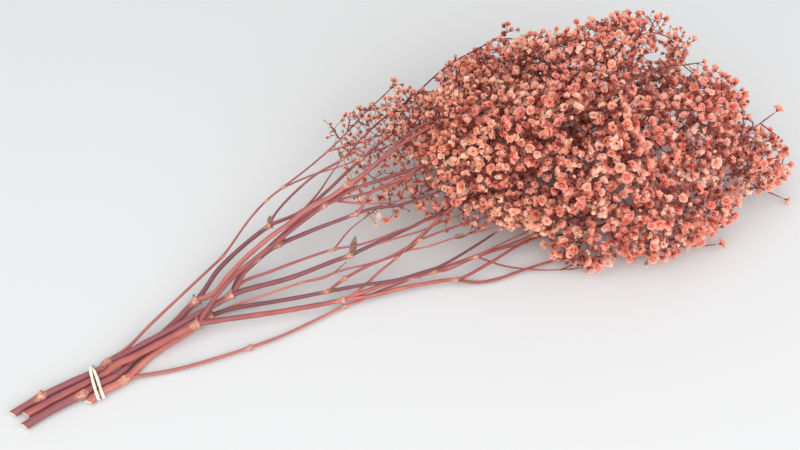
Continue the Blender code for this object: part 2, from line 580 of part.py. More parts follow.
def band_mesh():
    """The rubber band: one closed strip that goes round the four stems twice and crosses itself once."""
    middle = BAND_STEM_GAP + BAND_THICK / 2
    cloud = []
    for y, r in BAND_STEMS:
        for k in range(96):
            a = k * math.pi / 48
            cloud.append((y + math.cos(a) * (r + middle), r + STEM_BOTTOM + math.sin(a) * (r + middle)))
    cloud = sorted(set(cloud))
    hull = []
    for sweep in (cloud, cloud[::-1]):
        half = []
        for p in sweep:
            while len(half) > 1 and (
                (half[-1][0] - half[-2][0]) * (p[1] - half[-2][1])
                - (half[-1][1] - half[-2][1]) * (p[0] - half[-2][0])
            ) <= 0:
                half.pop()
            half.append(p)
        hull += half[:-1]
    hull = np.array(hull)
    start = int(np.argmax(hull[:, 0]))
    hull = np.vstack([hull[start:], hull[: start + 1]])
    run = lengths(hull)
    share = np.arange(2 * BAND_STATIONS) / BAND_STATIONS
    at = (share * run[-1] + BAND_CROSSING_UP) % run[-1]
    y, z = np.interp(at, run, hull[:, 0]), np.interp(at, run, hull[:, 1])
    ahead = (at + 0.4) % run[-1]
    back = (at - 0.4) % run[-1]
    ty = np.interp(ahead, run, hull[:, 0]) - np.interp(back, run, hull[:, 0])
    tz = np.interp(ahead, run, hull[:, 1]) - np.interp(back, run, hull[:, 1])
    size = np.hypot(ty, tz)
    ny, nz = tz / size, -ty / size
    lift = np.clip((0.13 - np.abs(share - 1)) / 0.045, 0, 1)
    lift = BAND_CROSSING_LIFT * lift**2 * (3 - 2 * lift)
    x = BAND_MIDDLE_X + BAND_SHIFT * np.tanh(3.2 * np.sin(math.pi * share))
    low = STEM_BOTTOM - middle
    flat = np.abs(z - low) < 0.05
    verts, faces = [], []
    for k in range(2 * BAND_STATIONS):
        if flat[k]:
            ny[k], nz[k] = 0.0, -1.0
        for dx, dn in ((1, 1), (-1, 1), (-1, -1), (1, -1)):
            out = lift[k] + dn * BAND_THICK / 2
            verts.append((x[k] + dx * BAND_WIDE / 2, y[k] + ny[k] * out, z[k] + nz[k] * out))
    count = 2 * BAND_STATIONS
    for k in range(count):
        for q in range(4):
            a, b = 4 * k + q, 4 * k + (q + 1) % 4
            c, d = 4 * ((k + 1) % count) + (q + 1) % 4, 4 * ((k + 1) % count) + q
            faces.append((a, b, c, d))
    return np.array(verts), faces


def fuse(name, pieces):
    """Joins the pieces of one stem into a single closed body."""
    helpers = bpy.data.collections.new(name + "_pieces")
    bpy.context.scene.collection.children.link(helpers)
    body = make_object(name, pieces[0][0], outward(*pieces[0]), bpy.context.scene.collection)
    for k, (verts, faces) in enumerate(pieces[1:]):
        make_object(f"{name}_piece_{k}", verts, outward(verts, faces), helpers)
    union = body.modifiers.new("union", "BOOLEAN")
    union.operation = "UNION"
    union.operand_type = "COLLECTION"
    union.collection = helpers
    union.solver = "MANIFOLD"
    bpy.context.view_layer.update()
    graph = bpy.context.evaluated_depsgraph_get()
    fused = bpy.data.meshes.new_from_object(body.evaluated_get(graph))
    body.modifiers.remove(union)
    body.data = fused
    for obj in list(helpers.objects):
        bpy.data.objects.remove(obj, do_unlink=True)
    bpy.data.collections.remove(helpers)
    return body


def main():
    for obj in list(bpy.data.objects):
        bpy.data.objects.remove(obj, do_unlink=True)
    rng = np.random.default_rng(11)
    routes = part_routes(STEMS)
    twigs = grow(routes, rng)
    pieces = {n: [] for n in range(4)}
    for n, route, parent, r0, r1, points in routes:
        knots = KNOTS[STEM_NAMES[n]].get(route, [])
        curve, share = smooth(points, 2)
        r = radii_along(curve, share, r0, r1, knots)
        line, radii = simplify(curve, r, 0.36 if r0 > 1.5 else 0.6)
        sides = 7 if r0 > 2.2 else 5 if r0 > 1.4 else 4
        pieces[n].append(tube(line, radii, sides, 1.2 if parent is None else 0.0))
    for n, line, radius in twigs:
        rest = line[-1][2] < FLORET_R + 1.5
        pieces[n].append(twig_and_floret(line, radius, rest, rng.random() * math.tau))
    for n, base, out, long, wide in BRACTS:
        line = min(
            (smooth(r[5], 1)[0] for r in routes if r[0] == n),
            key=lambda c: np.min(np.linalg.norm(c - np.array(base), axis=1)),
        )
        start = line[np.argmin(np.linalg.norm(line - np.array(base), axis=1))]
        pieces[n].append(bract(start, np.array(out, float), np.array([0.0, 0.0, 1.0]), long, wide))
    for n, name in enumerate(STEM_NAMES):
        fuse(name, pieces[n])
    verts, faces = band_mesh()
    make_object("rubber_band", verts, outward(verts, faces), bpy.context.scene.collection)
    total = 0
    for obj in bpy.data.objects:
        count = sum(len(p.vertices) - 2 for p in obj.data.polygons)
        total += count
        print(obj.name, count)
    print("florets", len(twigs), "triangles", total)


main()
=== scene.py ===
"""The looks of a bunch of four dried, dyed gypsophila stems lying on a pale table.

The branches follow the same routes as the solid model, and the florets fill the same head, finer.
Sizes are in millimetres until a mesh is made.
"""

import math

import bpy
import numpy as np
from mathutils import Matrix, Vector


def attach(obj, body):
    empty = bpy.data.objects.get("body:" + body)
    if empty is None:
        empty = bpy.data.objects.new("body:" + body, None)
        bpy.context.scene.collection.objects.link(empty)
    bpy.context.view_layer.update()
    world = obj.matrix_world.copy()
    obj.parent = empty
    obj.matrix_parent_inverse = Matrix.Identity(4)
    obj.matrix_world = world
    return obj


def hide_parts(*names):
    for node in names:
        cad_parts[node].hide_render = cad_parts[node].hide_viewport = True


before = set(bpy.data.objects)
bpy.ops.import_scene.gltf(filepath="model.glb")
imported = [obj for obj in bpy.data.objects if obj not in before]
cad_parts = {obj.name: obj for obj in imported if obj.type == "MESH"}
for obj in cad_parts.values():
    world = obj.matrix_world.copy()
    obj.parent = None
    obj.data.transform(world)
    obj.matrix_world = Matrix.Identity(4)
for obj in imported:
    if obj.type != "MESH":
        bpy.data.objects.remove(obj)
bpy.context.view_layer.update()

MM = 0.001

# The rubber band, and the stems inside it as they enter and leave it: distance across, radius
BAND_STEM_GAP = 0.3
BAND_THICK = 1.0
BAND_WIDE = 2.0
BAND_SHIFT = 1.65
BAND_MIDDLE_X = -1.63
BAND_CROSSING_UP = 3.0
BAND_CROSSING_LIFT = 1.35
BAND_STATIONS = 48
STEM_BOTTOM = BAND_THICK + BAND_STEM_GAP
BAND_STEMS = (
    (6.7, 2.5), (7.4, 2.5), (1.5, 2.5), (2.2, 2.5), (-4.1, 2.7), (-3.1, 2.7), (-10.4, 2.6), (-9.0, 2.6)
)

# Routes: name, parent route, radius at the start and at the end, points along the axis.
# A child starts on its parent's axis. Read off the photograph, in millimetres.
STEMS = {
    "stem_back": [
        ("main", None, 2.45, 2.15, [(-57, -1.5, 3), (-36, 2.8, 3.6), (-20, 4.8, 3.7), (-4, 6.7, 3.8),
         (0, 7.2, 3.8), (4, 7.6, 3.8), (9.5, 8.3, 4.7), (14, 8.9, 5.9), (20, 9.3, 7.4), (27, 9.9, 8.8),
         (40, 11.5, 9.8), (59, 14.7, 10.3), (80, 18.7, 11.2), (101, 23, 12)]),
        ("left", "main", 1.15, 0.9, [(9.5, 8.3, 4.7), (23, 14, 6.5), (43, 24, 9), (76, 40, 12),
         (95, 49, 14), (105, 54, 15), (133, 74, 20), (149, 83, 22), (163, 87, 25), (184, 93, 29),
         (202, 99, 33), (218, 106, 36), (238, 116, 40), (258, 125, 43)]),
        ("left_b", "left", 0.75, 0.65, [(162, 86, 25), (186, 89, 25), (210, 86, 28), (237, 83, 36)]),
        ("left_c", "left", 0.8, 0.65, [(202, 99, 33), (223, 94, 38), (249, 89, 44), (275, 80, 54)]),
        ("mid_a", "main", 1.9, 1.2, [(101, 23, 12), (109, 32, 14), (121, 38, 16), (136, 43, 19),
         (144, 44, 20), (159, 44, 22), (174, 43, 25), (201, 41, 29), (212, 38, 33), (228, 30, 38),
         (255, 21, 50), (282, 14, 60)]),
        ("mid_b", "mid_a", 1.2, 0.9, [(201, 41, 29), (205, 42, 32), (211, 46, 36), (219, 47, 41),
         (235, 41, 52), (254, 36, 68)]),
        ("mid_c", "mid_a", 1.3, 0.8, [(144, 44, 20), (157, 53, 24), (173, 56, 27), (191, 56, 31),
         (211, 50, 36), (235, 43, 48), (272, 40, 66), (301, 39, 80)]),
        ("mid_d", "mid_c", 0.9, 0.65, [(191, 56, 31), (207, 45, 33), (227, 37, 34), (250, 33, 38)]),
        ("low_a", "main", 1.2, 0.9, [(101, 23, 12), (111, 29, 13), (130, 29, 14), (154, 29, 15),
         (178, 27, 17), (192, 22, 20), (204, 19, 23), (224, 17, 27), (256, 11, 36)]),
        ("low_b", "low_a", 0.75, 0.65, [(178, 27, 17), (192, 33, 24), (207, 38, 26)]),
        ("low_c", "main", 1.9, 1.2, [(101, 23, 12), (110, 23, 12), (143, 20, 12), (175, 21, 12),
         (188, 21, 12), (203, 21, 15), (228, 21, 19), (254, 17, 30), (289, 11, 46), (316, 5, 62)]),
        ("low_d", "low_c", 0.9, 0.65, [(203, 21, 15), (227, 18, 17), (239, 16, 19), (260, 13, 26),
         (288, 6, 36)]),
        ("up", "main", 1.5, 1.1, [(101, 23, 12), (115, 34, 17), (126, 39, 20), (153, 49, 27), (171, 54, 31),
         (188, 54, 36), (205, 58, 40), (230, 63, 50), (255, 68, 62), (280, 60, 78), (316, 56, 92)]),
    ],
    "stem_middle": [
        ("main", None, 2.5, 2.3, [(-49, -6.2, 4), (-29, -2.4, 4.1), (-14, 0, 3.9), (-4, 1.5, 3.8),
         (0, 2, 3.8), (4, 2.5, 3.9), (9, 2.8, 5.4), (14, 3.1, 7.2), (20, 3.7, 8.6), (27, 4.6, 9.3),
         (38, 6.3, 10.1), (54, 8.4, 10.5), (73, 11, 11)]),
        ("low_a", "main", 2.0, 1.6, [(73, 11, 11), (96, 6, 10), (127, -1, 9), (154, -6, 8), (171, -9, 8)]),
        ("low_b", "low_a", 1.1, 0.9, [(171, -9, 8), (183, -7, 10), (190, -4, 10), (203, 1, 12),
         (216, 5, 14), (230, 9, 19), (244, 11, 28), (267, 12, 45)]),
        ("low_c", "low_a", 1.4, 1.1, [(171, -9, 8), (187, -9, 9), (200, -9, 9), (220, -12, 10),
         (237, -14, 10), (252, -14, 11), (268, -15, 12), (298, -16, 13), (314, -17, 15), (333, -18, 16),
         (349, -25, 17), (364, -33, 18), (385, -45, 16), (398, -58, 14)]),
        ("low_d", "low_c", 1.1, 0.8, [(314, -17, 15), (342, -20, 25), (362, -14, 47), (382, -8, 65),
         (401, 2, 80)]),
        ("low_e", "low_c", 0.75, 0.65, [(268, -15, 12), (284, -26, 6), (297, -34, 5), (310, -40, 4),
         (328, -47, 4)]),
        ("low_f", "low_c", 0.8, 0.65, [(268, -15, 12), (292, -15, 17), (308, -15, 20), (325, -15, 27)]),
        ("low_g", "low_a", 1.5, 1.2, [(171, -9, 8), (189, -12, 6), (212, -15, 6), (245, -22, 6),
         (249, -24, 6), (276, -22, 9), (297, -18, 10), (314, -17, 10), (338, -24, 12), (367, -29, 16)]),
        ("low_h", "low_g", 1.2, 0.8, [(249, -24, 6), (263, -30, 3), (277, -33, 3), (296, -34, 4),
         (323, -37, 5), (337, -42, 5), (357, -48, 5), (374, -50, 5), (401, -58, 4), (424, -67, 4)]),
        ("low_i", "low_h", 0.8, 0.65, [(323, -37, 5), (328, -35, 6), (338, -29, 9), (348, -26, 11),
         (359, -29, 15)]),
        ("low_j", "low_h", 0.8, 0.65, [(374, -50, 5), (396, -50, 8), (414, -49, 13), (432, -51, 20)]),
        ("right_a", "low_c", 1.2, 0.8, [(342, -22, 17), (362, -22, 32), (384, -21, 40), (406, -18, 42),
         (420, -21, 41), (434, -22, 46), (451, -25, 52), (471, -25, 60), (488, -22, 64)]),
        ("right_b", "right_a", 0.9, 0.65, [(420, -21, 41), (455, -25, 22), (475, -28, 14), (483, -34, 9),
         (494, -47, 6)]),
        ("up", "main", 1.7, 0.9, [(73, 11, 11), (88, 21, 17), (104, 29, 22), (119, 34, 25), (141, 41, 28),
         (162, 48, 31), (182, 52, 36), (202, 54, 40), (222, 51, 44), (241, 44, 52), (269, 34, 66),
         (302, 27, 82), (331, 18, 93), (364, 11, 97), (400, 0, 92), (419, -5, 88), (445, -11, 80)]),
        ("up_b", "up", 0.8, 0.65, [(364, 11, 97), (386, 17, 100), (415, 26, 98), (450, 26, 90)]),
        ("up_c", "up", 0.8, 0.65, [(419, -5, 88), (435, -16, 78), (453, -27, 66)]),
    ],
    "stem_crossing": [
        ("main", None, 2.7, 2.3, [(-52, -13, 3.2), (-34, -9, 3.6), (-17, -6.6, 4), (-11, -5.4, 4),
         (-4, -4.1, 4), (0, -3.3, 4), (4, -2.9, 3.9), (9, -2.1, 3.5), (14.5, 0, 3.2), (20, 2.9, 3.1),
         (26, 6, 3.1), (32, 9.2, 3.1), (47, 16.5, 3.4), (61, 23, 4.8), (70, 27.5, 6.5), (78, 31, 8)]),
        ("far_a", "main", 1.8, 1.5, [(78, 31, 8), (84, 35, 9), (98, 45, 13), (115, 53, 16), (130, 58, 19),
         (143, 61, 22)]),
        ("far_b", "far_a", 1.0, 0.8, [(143, 61, 22), (148, 66, 24), (162, 74, 27), (186, 82, 33),
         (208, 84, 38), (225, 92, 42), (244, 100, 46), (267, 105, 51), (307, 119, 60), (330, 120, 66),
         (348, 122, 69)]),
        ("far_c", "far_a", 1.4, 1.0, [(143, 61, 22), (168, 62, 24), (190, 69, 28), (208, 75, 34),
         (221, 78, 39), (235, 81, 45), (253, 81, 54), (275, 81, 64), (306, 80, 76)]),
        ("far_d", "far_c", 0.9, 0.7, [(168, 62, 24), (183, 70, 27), (197, 79, 32), (206, 84, 36)]),
        ("up", "main", 1.9, 1.0, [(78, 31, 8), (90, 29, 12), (103, 35, 17), (119, 41, 23), (137, 45, 30),
         (153, 47, 36), (171, 52, 40), (186, 52, 43), (200, 55, 46), (215, 57, 50), (226, 59, 55),
         (247, 63, 62), (272, 63, 70), (300, 56, 78), (331, 44, 86), (360, 40, 91), (391, 44, 94),
         (413, 58, 96), (424, 67, 96)]),
        ("up_b", "up", 0.9, 0.65, [(331, 44, 86), (351, 58, 90), (369, 74, 90)]),
        ("up_c", "up", 0.8, 0.65, [(391, 44, 94), (415, 29, 97), (432, 15, 91), (446, 8, 86)]),
        ("up_d", "up", 0.8, 0.65, [(413, 58, 96), (438, 60, 95), (451, 51, 92)]),
    ],
    "stem_front": [
        ("main", None, 2.6, 2.0, [(-10, -13, 3.5), (-4, -10.4, 3.9), (0, -9.2, 3.9), (4, -8.4, 3.9),
         (9, -7.5, 3.9), (16, -5.2, 3.8), (23, -1.9, 3.1), (31, 2.2, 2.8), (48, 8, 2.8), (62, 11, 3),
         (75, 16, 3.2), (84, 18, 4)]),
        ("near", "main", 1.3, 1.0, [(16, -5.2, 3.8), (23, -7, 3.4), (45, -11, 2), (65, -14, 3),
         (100, -16, 3), (121, -16, 3), (144, -14, 3), (170, -11, 3), (182, -11, 2.6), (197, -9, 2.6),
         (213, -9, 3), (227, -10, 4.5), (238, -12, 5.5), (248, -14, 6), (263, -13, 6.5), (287, -14, 8),
         (309, -17, 9)]),
        ("low_a", "main", 1.6, 1.2, [(84, 18, 4), (99, 16, 6), (123, 10, 7), (144, 5, 8), (163, 1, 9),
         (187, -7, 14), (208, -12, 14), (226, -14, 15), (240, -15, 16), (267, -12, 20), (290, -9, 25),
         (307, -10, 30), (332, -14, 36)]),
        ("low_b", "low_a", 1.2, 0.9, [(163, 1, 9), (169, 3, 10), (177, 5, 11), (194, 7, 13), (213, 6, 16),
         (235, 7, 22), (256, 4, 28), (290, -4, 38)]),
        ("low_c", "main", 0.9, 0.8, [(84, 18, 4), (104, 18, 6), (133, 16, 8), (149, 15, 9), (162, 13, 10),
         (180, 12, 11), (198, 9, 12), (216, 8, 12), (224, 8, 13), (239, 3, 17), (259, 1, 19), (290, -7, 27),
         (319, -9, 38)]),
        ("low_d", "low_c", 0.8, 0.65, [(224, 8, 13), (230, 8, 16), (250, 14, 26), (271, 14, 42)]),
        ("low_e", "low_c", 0.7, 0.6, [(149, 15, 9), (167, 12, 10), (184, 19, 9)]),
    ],
}
STEM_NAMES = list(STEMS)

# Joints of the stems, swollen as in the photograph: stem, route, distance along it as a point index
KNOTS = {
    "stem_back": {"main": [1, 6, 13], "left": [5, 7, 8, 10], "mid_a": [4, 7], "mid_c": [3], "low_a": [4],
                  "low_c": [4], "up": [2, 6]},
    "stem_middle": {"main": [12], "low_a": [4], "low_b": [4], "low_c": [3, 4, 6, 8], "low_g": [4],
                    "low_h": [4, 7], "right_a": [3], "right_b": [1], "up": [6, 14]},
    "stem_crossing": {"main": [3, 15], "far_a": [5], "far_b": [4], "far_c": [1, 4], "up": [8, 14]},
    "stem_front": {"main": [5, 11], "near": [4, 7, 11], "low_a": [4, 10], "low_b": [2, 5], "low_c": [3, 8]},
}

# Small leaves left at some joints: stem, base, direction, length, width
BRACTS = [
    (0, (189, 22, 12.5), (6, 7, 9), 14, 3.4),
    (0, (188, 21, 12), (8, -3, 3), 8, 2.4),
    (0, (144, 44, 20.5), (2, 6, 4), 6, 2.2),
    (1, (314, -17, 15), (9, 6, 5), 13, 3.0),
    (1, (323, -37, 5.5), (3, 4, 5), 7, 2.4),
    (1, (249, -24, 6.5), (7, -4, 3), 6, 2.4),
    (2, (143, 61, 22.5), (3, 7, 3), 7, 2.6),
    (2, (208, 84, 38), (-2, 5, 6), 7, 2.4),
    (3, (259, 1, 19), (8, -3, 1.5), 9, 3.0),
    (3, (163, 1, 9.5), (5, -5, 3), 6, 2.4),
]
KNOT_SWELL = 0.46
KNOT_REACH_BEFORE = 4.2
KNOT_REACH_AFTER = 2.0

# The head of the bunch as overlapping ellipsoids: centre, half axes
LOBES = [
    ((232, 106, 38), (26, 20, 13)),
    ((228, 66, 32), (24, 30, 13)),
    ((232, 36, 28), (22, 14, 11)),
    ((270, 88, 46), (30, 26, 20)),
    ((260, 34, 36), (34, 20, 18)),
    ((306, 44, 56), (60, 46, 40)),
    ((333, 92, 56), (46, 30, 26)),
    ((345, 70, 30), (62, 46, 30)),
    ((350, 14, 56), (70, 50, 48)),
    ((376, 62, 82), (50, 34, 24)),
    ((418, 56, 82), (46, 34, 24)),
    ((432, 4, 56), (52, 44, 44)),
    ((480, -30, 32), (28, 25, 26)),
    ((404, -42, 30), (54, 30, 30)),
    ((347, -38, 18), (32, 18, 18)),
    ((282, 14, 26), (34, 16, 15)),
]
# Branches whose dye is paler or darker than the rest
TONES = {
    ("stem_back", "mid_a"): -0.8, ("stem_back", "low_c"): -0.3, ("stem_back", "main"): -0.2,
    ("stem_middle", "low_a"): -0.2, ("stem_middle", "main"): 0.1, ("stem_middle", "low_g"): -0.2,
    ("stem_crossing", "far_b"): -0.4, ("stem_crossing", "far_a"): -0.3,
    ("stem_front", "low_a"): -0.4, ("stem_front", "low_c"): 0.4, ("stem_front", "near"): 0.2,
}
# Hollows in the head's outline where only single florets stand: centre, half axes
HOLLOWS = [
    ((462, -36, 14), (14, 12, 15)),
    ((448, -47, 36), (14, 13, 18)),
    ((434, -60, 58), (14, 13, 16)),
    ((372, 98, 66), (9, 18, 30)),
    ((446, 72, 78), (8, 26, 22)),
]

# How the routes of different stems are nudged apart
ROUTE_ROUNDS = 60
ROUTE_GAP = 0.7
TIED_GAP = 0.25
TIED_X = 9
ROUTE_STEP = 4

# The florets and twigs of the solid model, which the finer ones grow from
TARGET_GAP = 19.4
FLORET_R = 5.2
FLORET_HIGH = 5.6
TWIG_R = 0.62
CLEAR = 0.6
TWIGS_FROM_X = 165
LONGEST_COST = 75
NEAR_PIECES = 34

# The finer florets and stalks
FINE_GAP = 5.15
FINE_GAP_LOOSE = 7.2
TIP_REACH = 7.5
FINE_REACH = 17.5
STALKS_FROM_X = 168
LONGEST_STALK = 26
TIP_TRIES = 30000
HEAD_TRIES = 200000
FLORETS_A_PIECE = 1100
LOWEST_FLORET = 3.4
# Where along X the head begins, with smaller florets and more buds
STEM_SIDE_X = (215, 270)
# How florets differ: turned off their stalk, lifted, in size, in shade
FACE_SPREAD = 0.45
FACE_LIFT = (0, 0, 0.15)
SIZE_SPREAD = 0.13
SHADE_MIDDLE = 0.66
SHADE_SPREAD = 0.25

# Sweeps of the branches: fine steps, the radius from which a stem is thick, where main stems are eased
FINE_STEP = 0.5
THICK_STEM = 1.4
THICK_STEP, THIN_STEP = 1.6, 2.4
EASED_X = (5, 66)
EASED_REACH = 15
CUT_SLANT = 1.2
LEAF_LONGER, LEAF_WIDER = 1.65, 1.5
# Radii of a twig's end, and of a finer stalk's two ends
TWIG_END_R = 0.38
STALK_R, SIDE_STALK_R, STALK_END_R = 0.34, 0.27, 0.2


# Small helpers


def unit(v):
    return v / np.linalg.norm(v)


def unit_rows(v):
    return v / np.linalg.norm(v, axis=1)[:, None]


def bell(d, reach):
    return np.exp(-((d / reach) ** 2))


def nearest(points, p):
    """The index of the point nearest to p, and how far away it is."""
    d = np.linalg.norm(points - p, axis=1)
    k = int(np.argmin(d))
    return k, d[k]


def columns(rows):
    return [np.array(column) for column in zip(*rows)]


def smooth(points, step):
    """Centripetal curve through the points: positions and the share of each point index."""
    p = np.array(points, float)
    p = np.vstack([2 * p[0] - p[1], p, 2 * p[-1] - p[-2]])
    out, share = [], []
    for i in range(1, len(p) - 2):
        a, b, c, d = p[i - 1 : i + 3]
        t1 = max(np.linalg.norm(b - a), 1e-3) ** 0.5
        t2 = t1 + max(np.linalg.norm(c - b), 1e-3) ** 0.5
        t3 = t2 + max(np.linalg.norm(d - c), 1e-3) ** 0.5
        n = max(2, int(round(np.linalg.norm(c - b) / step)))
        for k in range(n + (i == len(p) - 3)):
            t = t1 + (t2 - t1) * k / n
            ab = a + (b - a) * (t / t1)
            bc = b + (c - b) * ((t - t1) / (t2 - t1))
            cd = c + (d - c) * ((t - t2) / (t3 - t2))
            abc = ab + (bc - ab) * (t / t2)
            bcd = bc + (cd - bc) * ((t - t1) / (t3 - t1))
            out.append(abc + (bcd - abc) * ((t - t1) / (t2 - t1)))
            share.append(i - 1 + k / n)
    return np.array(out), np.array(share)


def lengths(points):
    return np.concatenate([[0.0], np.cumsum(np.linalg.norm(np.diff(points, axis=0), axis=1))])


def knot_reach(d, radius):
    """How far a joint's swelling reaches on the side where d lies."""
    return np.where(d < 0, KNOT_REACH_BEFORE, KNOT_REACH_AFTER) * min(1.0, 0.35 + 0.3 * radius)


def radii_along(points, share, r0, r1, knots):
    """The taper of a stem, swollen before each joint, less so in the tied part."""
    run = lengths(points)
    r = r0 + (r1 - r0) * run / run[-1]
    for k in knots:
        d = run - np.interp(k, share, run)
        tied = abs(np.interp(k, share, points[:, 0])) < 20
        r = r * (1 + KNOT_SWELL * (0.5 if tied else 1.0) * bell(d, knot_reach(d, np.interp(k, share, r))))
    return r


def curve_of(route, step):
    """A route's curve with its radii."""
    n, name, parent, r0, r1, points = route
    curve, share = smooth(points, step)
    return curve, share, radii_along(curve, share, r0, r1, KNOTS[STEM_NAMES[n]].get(name, []))


def segment_gaps(a0, a1, b0, b1):
    """Shortest distance between segments a and b, row by row, and the way from b to a."""
    u, v, w = a1 - a0, b1 - b0, a0 - b0
    a = np.einsum("ij,ij->i", u, u) + 1e-12
    b = np.einsum("ij,ij->i", u, v)
    c = np.einsum("ij,ij->i", v, v) + 1e-12
    d = np.einsum("ij,ij->i", u, w)
    e = np.einsum("ij,ij->i", v, w)
    s = np.clip((b * e - c * d) / np.maximum(a * c - b * b, 1e-9), 0, 1)
    t = np.clip((b * s + e) / c, 0, 1)
    s = np.clip((b * t - d) / a, 0, 1)
    apart = (a0 + u * s[:, None]) - (b0 + v * t[:, None])
    return np.linalg.norm(apart, axis=1), apart


def part_routes():
    """The routes as [stem, name, parent, radii, points], nudged apart where stems cross too closely."""
    routes = []
    for n, name in enumerate(STEM_NAMES):
        for route, parent, r0, r1, points in STEMS[name]:
            routes.append([n, route, parent, r0, r1, np.array(points, float)])
    for _ in range(ROUTE_ROUNDS):
        rows = []
        for k, route in enumerate(routes):
            curve, share, r = curve_of(route, ROUTE_STEP)
            for q in range(len(curve) - 1):
                middle = (share[q] + share[q + 1]) / 2
                rows.append((curve[q], curve[q + 1], max(r[q], r[q + 1]), route[0], k, middle))
        start, end, rad, stem, owner, where = columns(rows)
        mid = (start + end) / 2
        i, j = np.nonzero(
            (np.linalg.norm(mid[:, None] - mid[None], axis=2) < rad[:, None] + rad[None] + 5)
            & (stem[:, None] < stem[None])
        )
        gap, apart = segment_gaps(start[i], end[i], start[j], end[j])
        short = ROUTE_GAP + rad[i] + rad[j] - gap
        short[(np.abs(mid[i, 0]) < TIED_X) | (np.abs(mid[j, 0]) < TIED_X)] -= ROUTE_GAP - TIED_GAP
        bad = short > 1e-3
        if not bad.any():
            break
        way = apart[bad] / np.maximum(gap[bad], 1e-6)[:, None]
        i, j, push = i[bad], j[bad], short[bad][:, None] * way * 0.5
        shift = [np.zeros_like(r[5]) for r in routes]
        count = [np.zeros(len(r[5])) for r in routes]
        for seg, move in ((i, push), (j, -push)):
            for q, m in zip(seg, move):
                at = where[q]
                for point, weight in ((int(at), 1 - at % 1), (int(at) + 1, at % 1)):
                    shift[owner[q]][point] += m * weight
                    count[owner[q]][point] += weight
        for k, r in enumerate(routes):
            points = r[5]
            step = shift[k] / np.maximum(count[k], 1)[:, None]
            step[np.abs(points[:, 0]) < TIED_X] = 0
            points += step
            points[:, 2] = np.maximum(points[:, 2], max(r[3], r[4]) + 0.5)
        for r in routes:
            if r[2]:
                parent = next(q for q in routes if q[0] == r[0] and q[1] == r[2])
                line, _ = smooth(parent[5], 1)
                r[5][0] = line[nearest(line, r[5][0])[0]]
    return routes


def carried_on(route, routes):
    """Whether another route of the same stem starts where this one ends."""
    n, name, _, _, _, points = route
    return any(q[2] == name and q[0] == n and np.linalg.norm(q[5][0] - points[-1]) < 3 for q in routes)


def inside(p, size):
    """Whether a point is in a lobe of the head, each lobe taken at a share of its size."""
    return any(sum(((p[k] - c[k]) / (a[k] * size)) ** 2 for k in range(3)) < 1 for c, a in LOBES)


def scatter(rng):
    """Places for the model's florets: evenly apart through the head, closer together near its skin."""
    found = []
    for near, skin, tries in ((TARGET_GAP, True, 9000), (TARGET_GAP * 1.15, False, 5000)):
        for _ in range(tries):
            centre, half = LOBES[rng.integers(len(LOBES))]
            ray = unit(rng.normal(size=3))
            depth = 0.97 if skin else rng.random() ** (1 / 3)
            p = np.array(centre) + ray * np.array(half) * depth
            if skin and inside(p, 0.93):
                continue
            p[2] = max(p[2], FLORET_R)
            if not found or nearest(np.array(found), p)[1] >= near:
                found.append(p)
    return np.array(found)


class Tree:
    """The pieces of all stems so far, as capsules, and where a twig can start: place, way, stem, depth."""

    def __init__(self):
        self.capsules, self.starts = [], []

    def capsule(self, a, b, r, stem, bloom=False):
        self.capsules.append((a, b, r, stem, bloom))

    def free(self, pieces, ball, stem):
        """Whether a twig's capsules and its floret keep clear of other stems and of its own florets."""
        a, b, r, owner, bloom = columns(self.capsules)
        mine = owner == stem
        for k, (p, q, radius) in enumerate(pieces + [ball]):
            near = np.linalg.norm((a + b) / 2 - (p + q) / 2, axis=1) < NEAR_PIECES
            if k == len(pieces):
                # its own twig's parent may come close below the floret
                p = p + (q - p) * 0.4
            elif k == len(pieces) - 1:
                near &= ~mine | bloom
            else:
                near &= ~mine
            if near.any():
                one = np.ones((near.sum(), 1))
                gap, _ = segment_gaps(one * p, one * q, a[near], b[near])
                if (gap - r[near] - radius < np.where(mine[near], 0.0, CLEAR)).any():
                    return False
        return True


def bend(start, way, end, n=3):
    """A twig that leaves along the stem and turns to its floret."""
    d = np.linalg.norm(end - start)
    control = start + way * d * 0.42
    t = np.linspace(0, 1, n)[:, None]
    return (1 - t) ** 2 * start + 2 * t * (1 - t) * control + t**2 * end


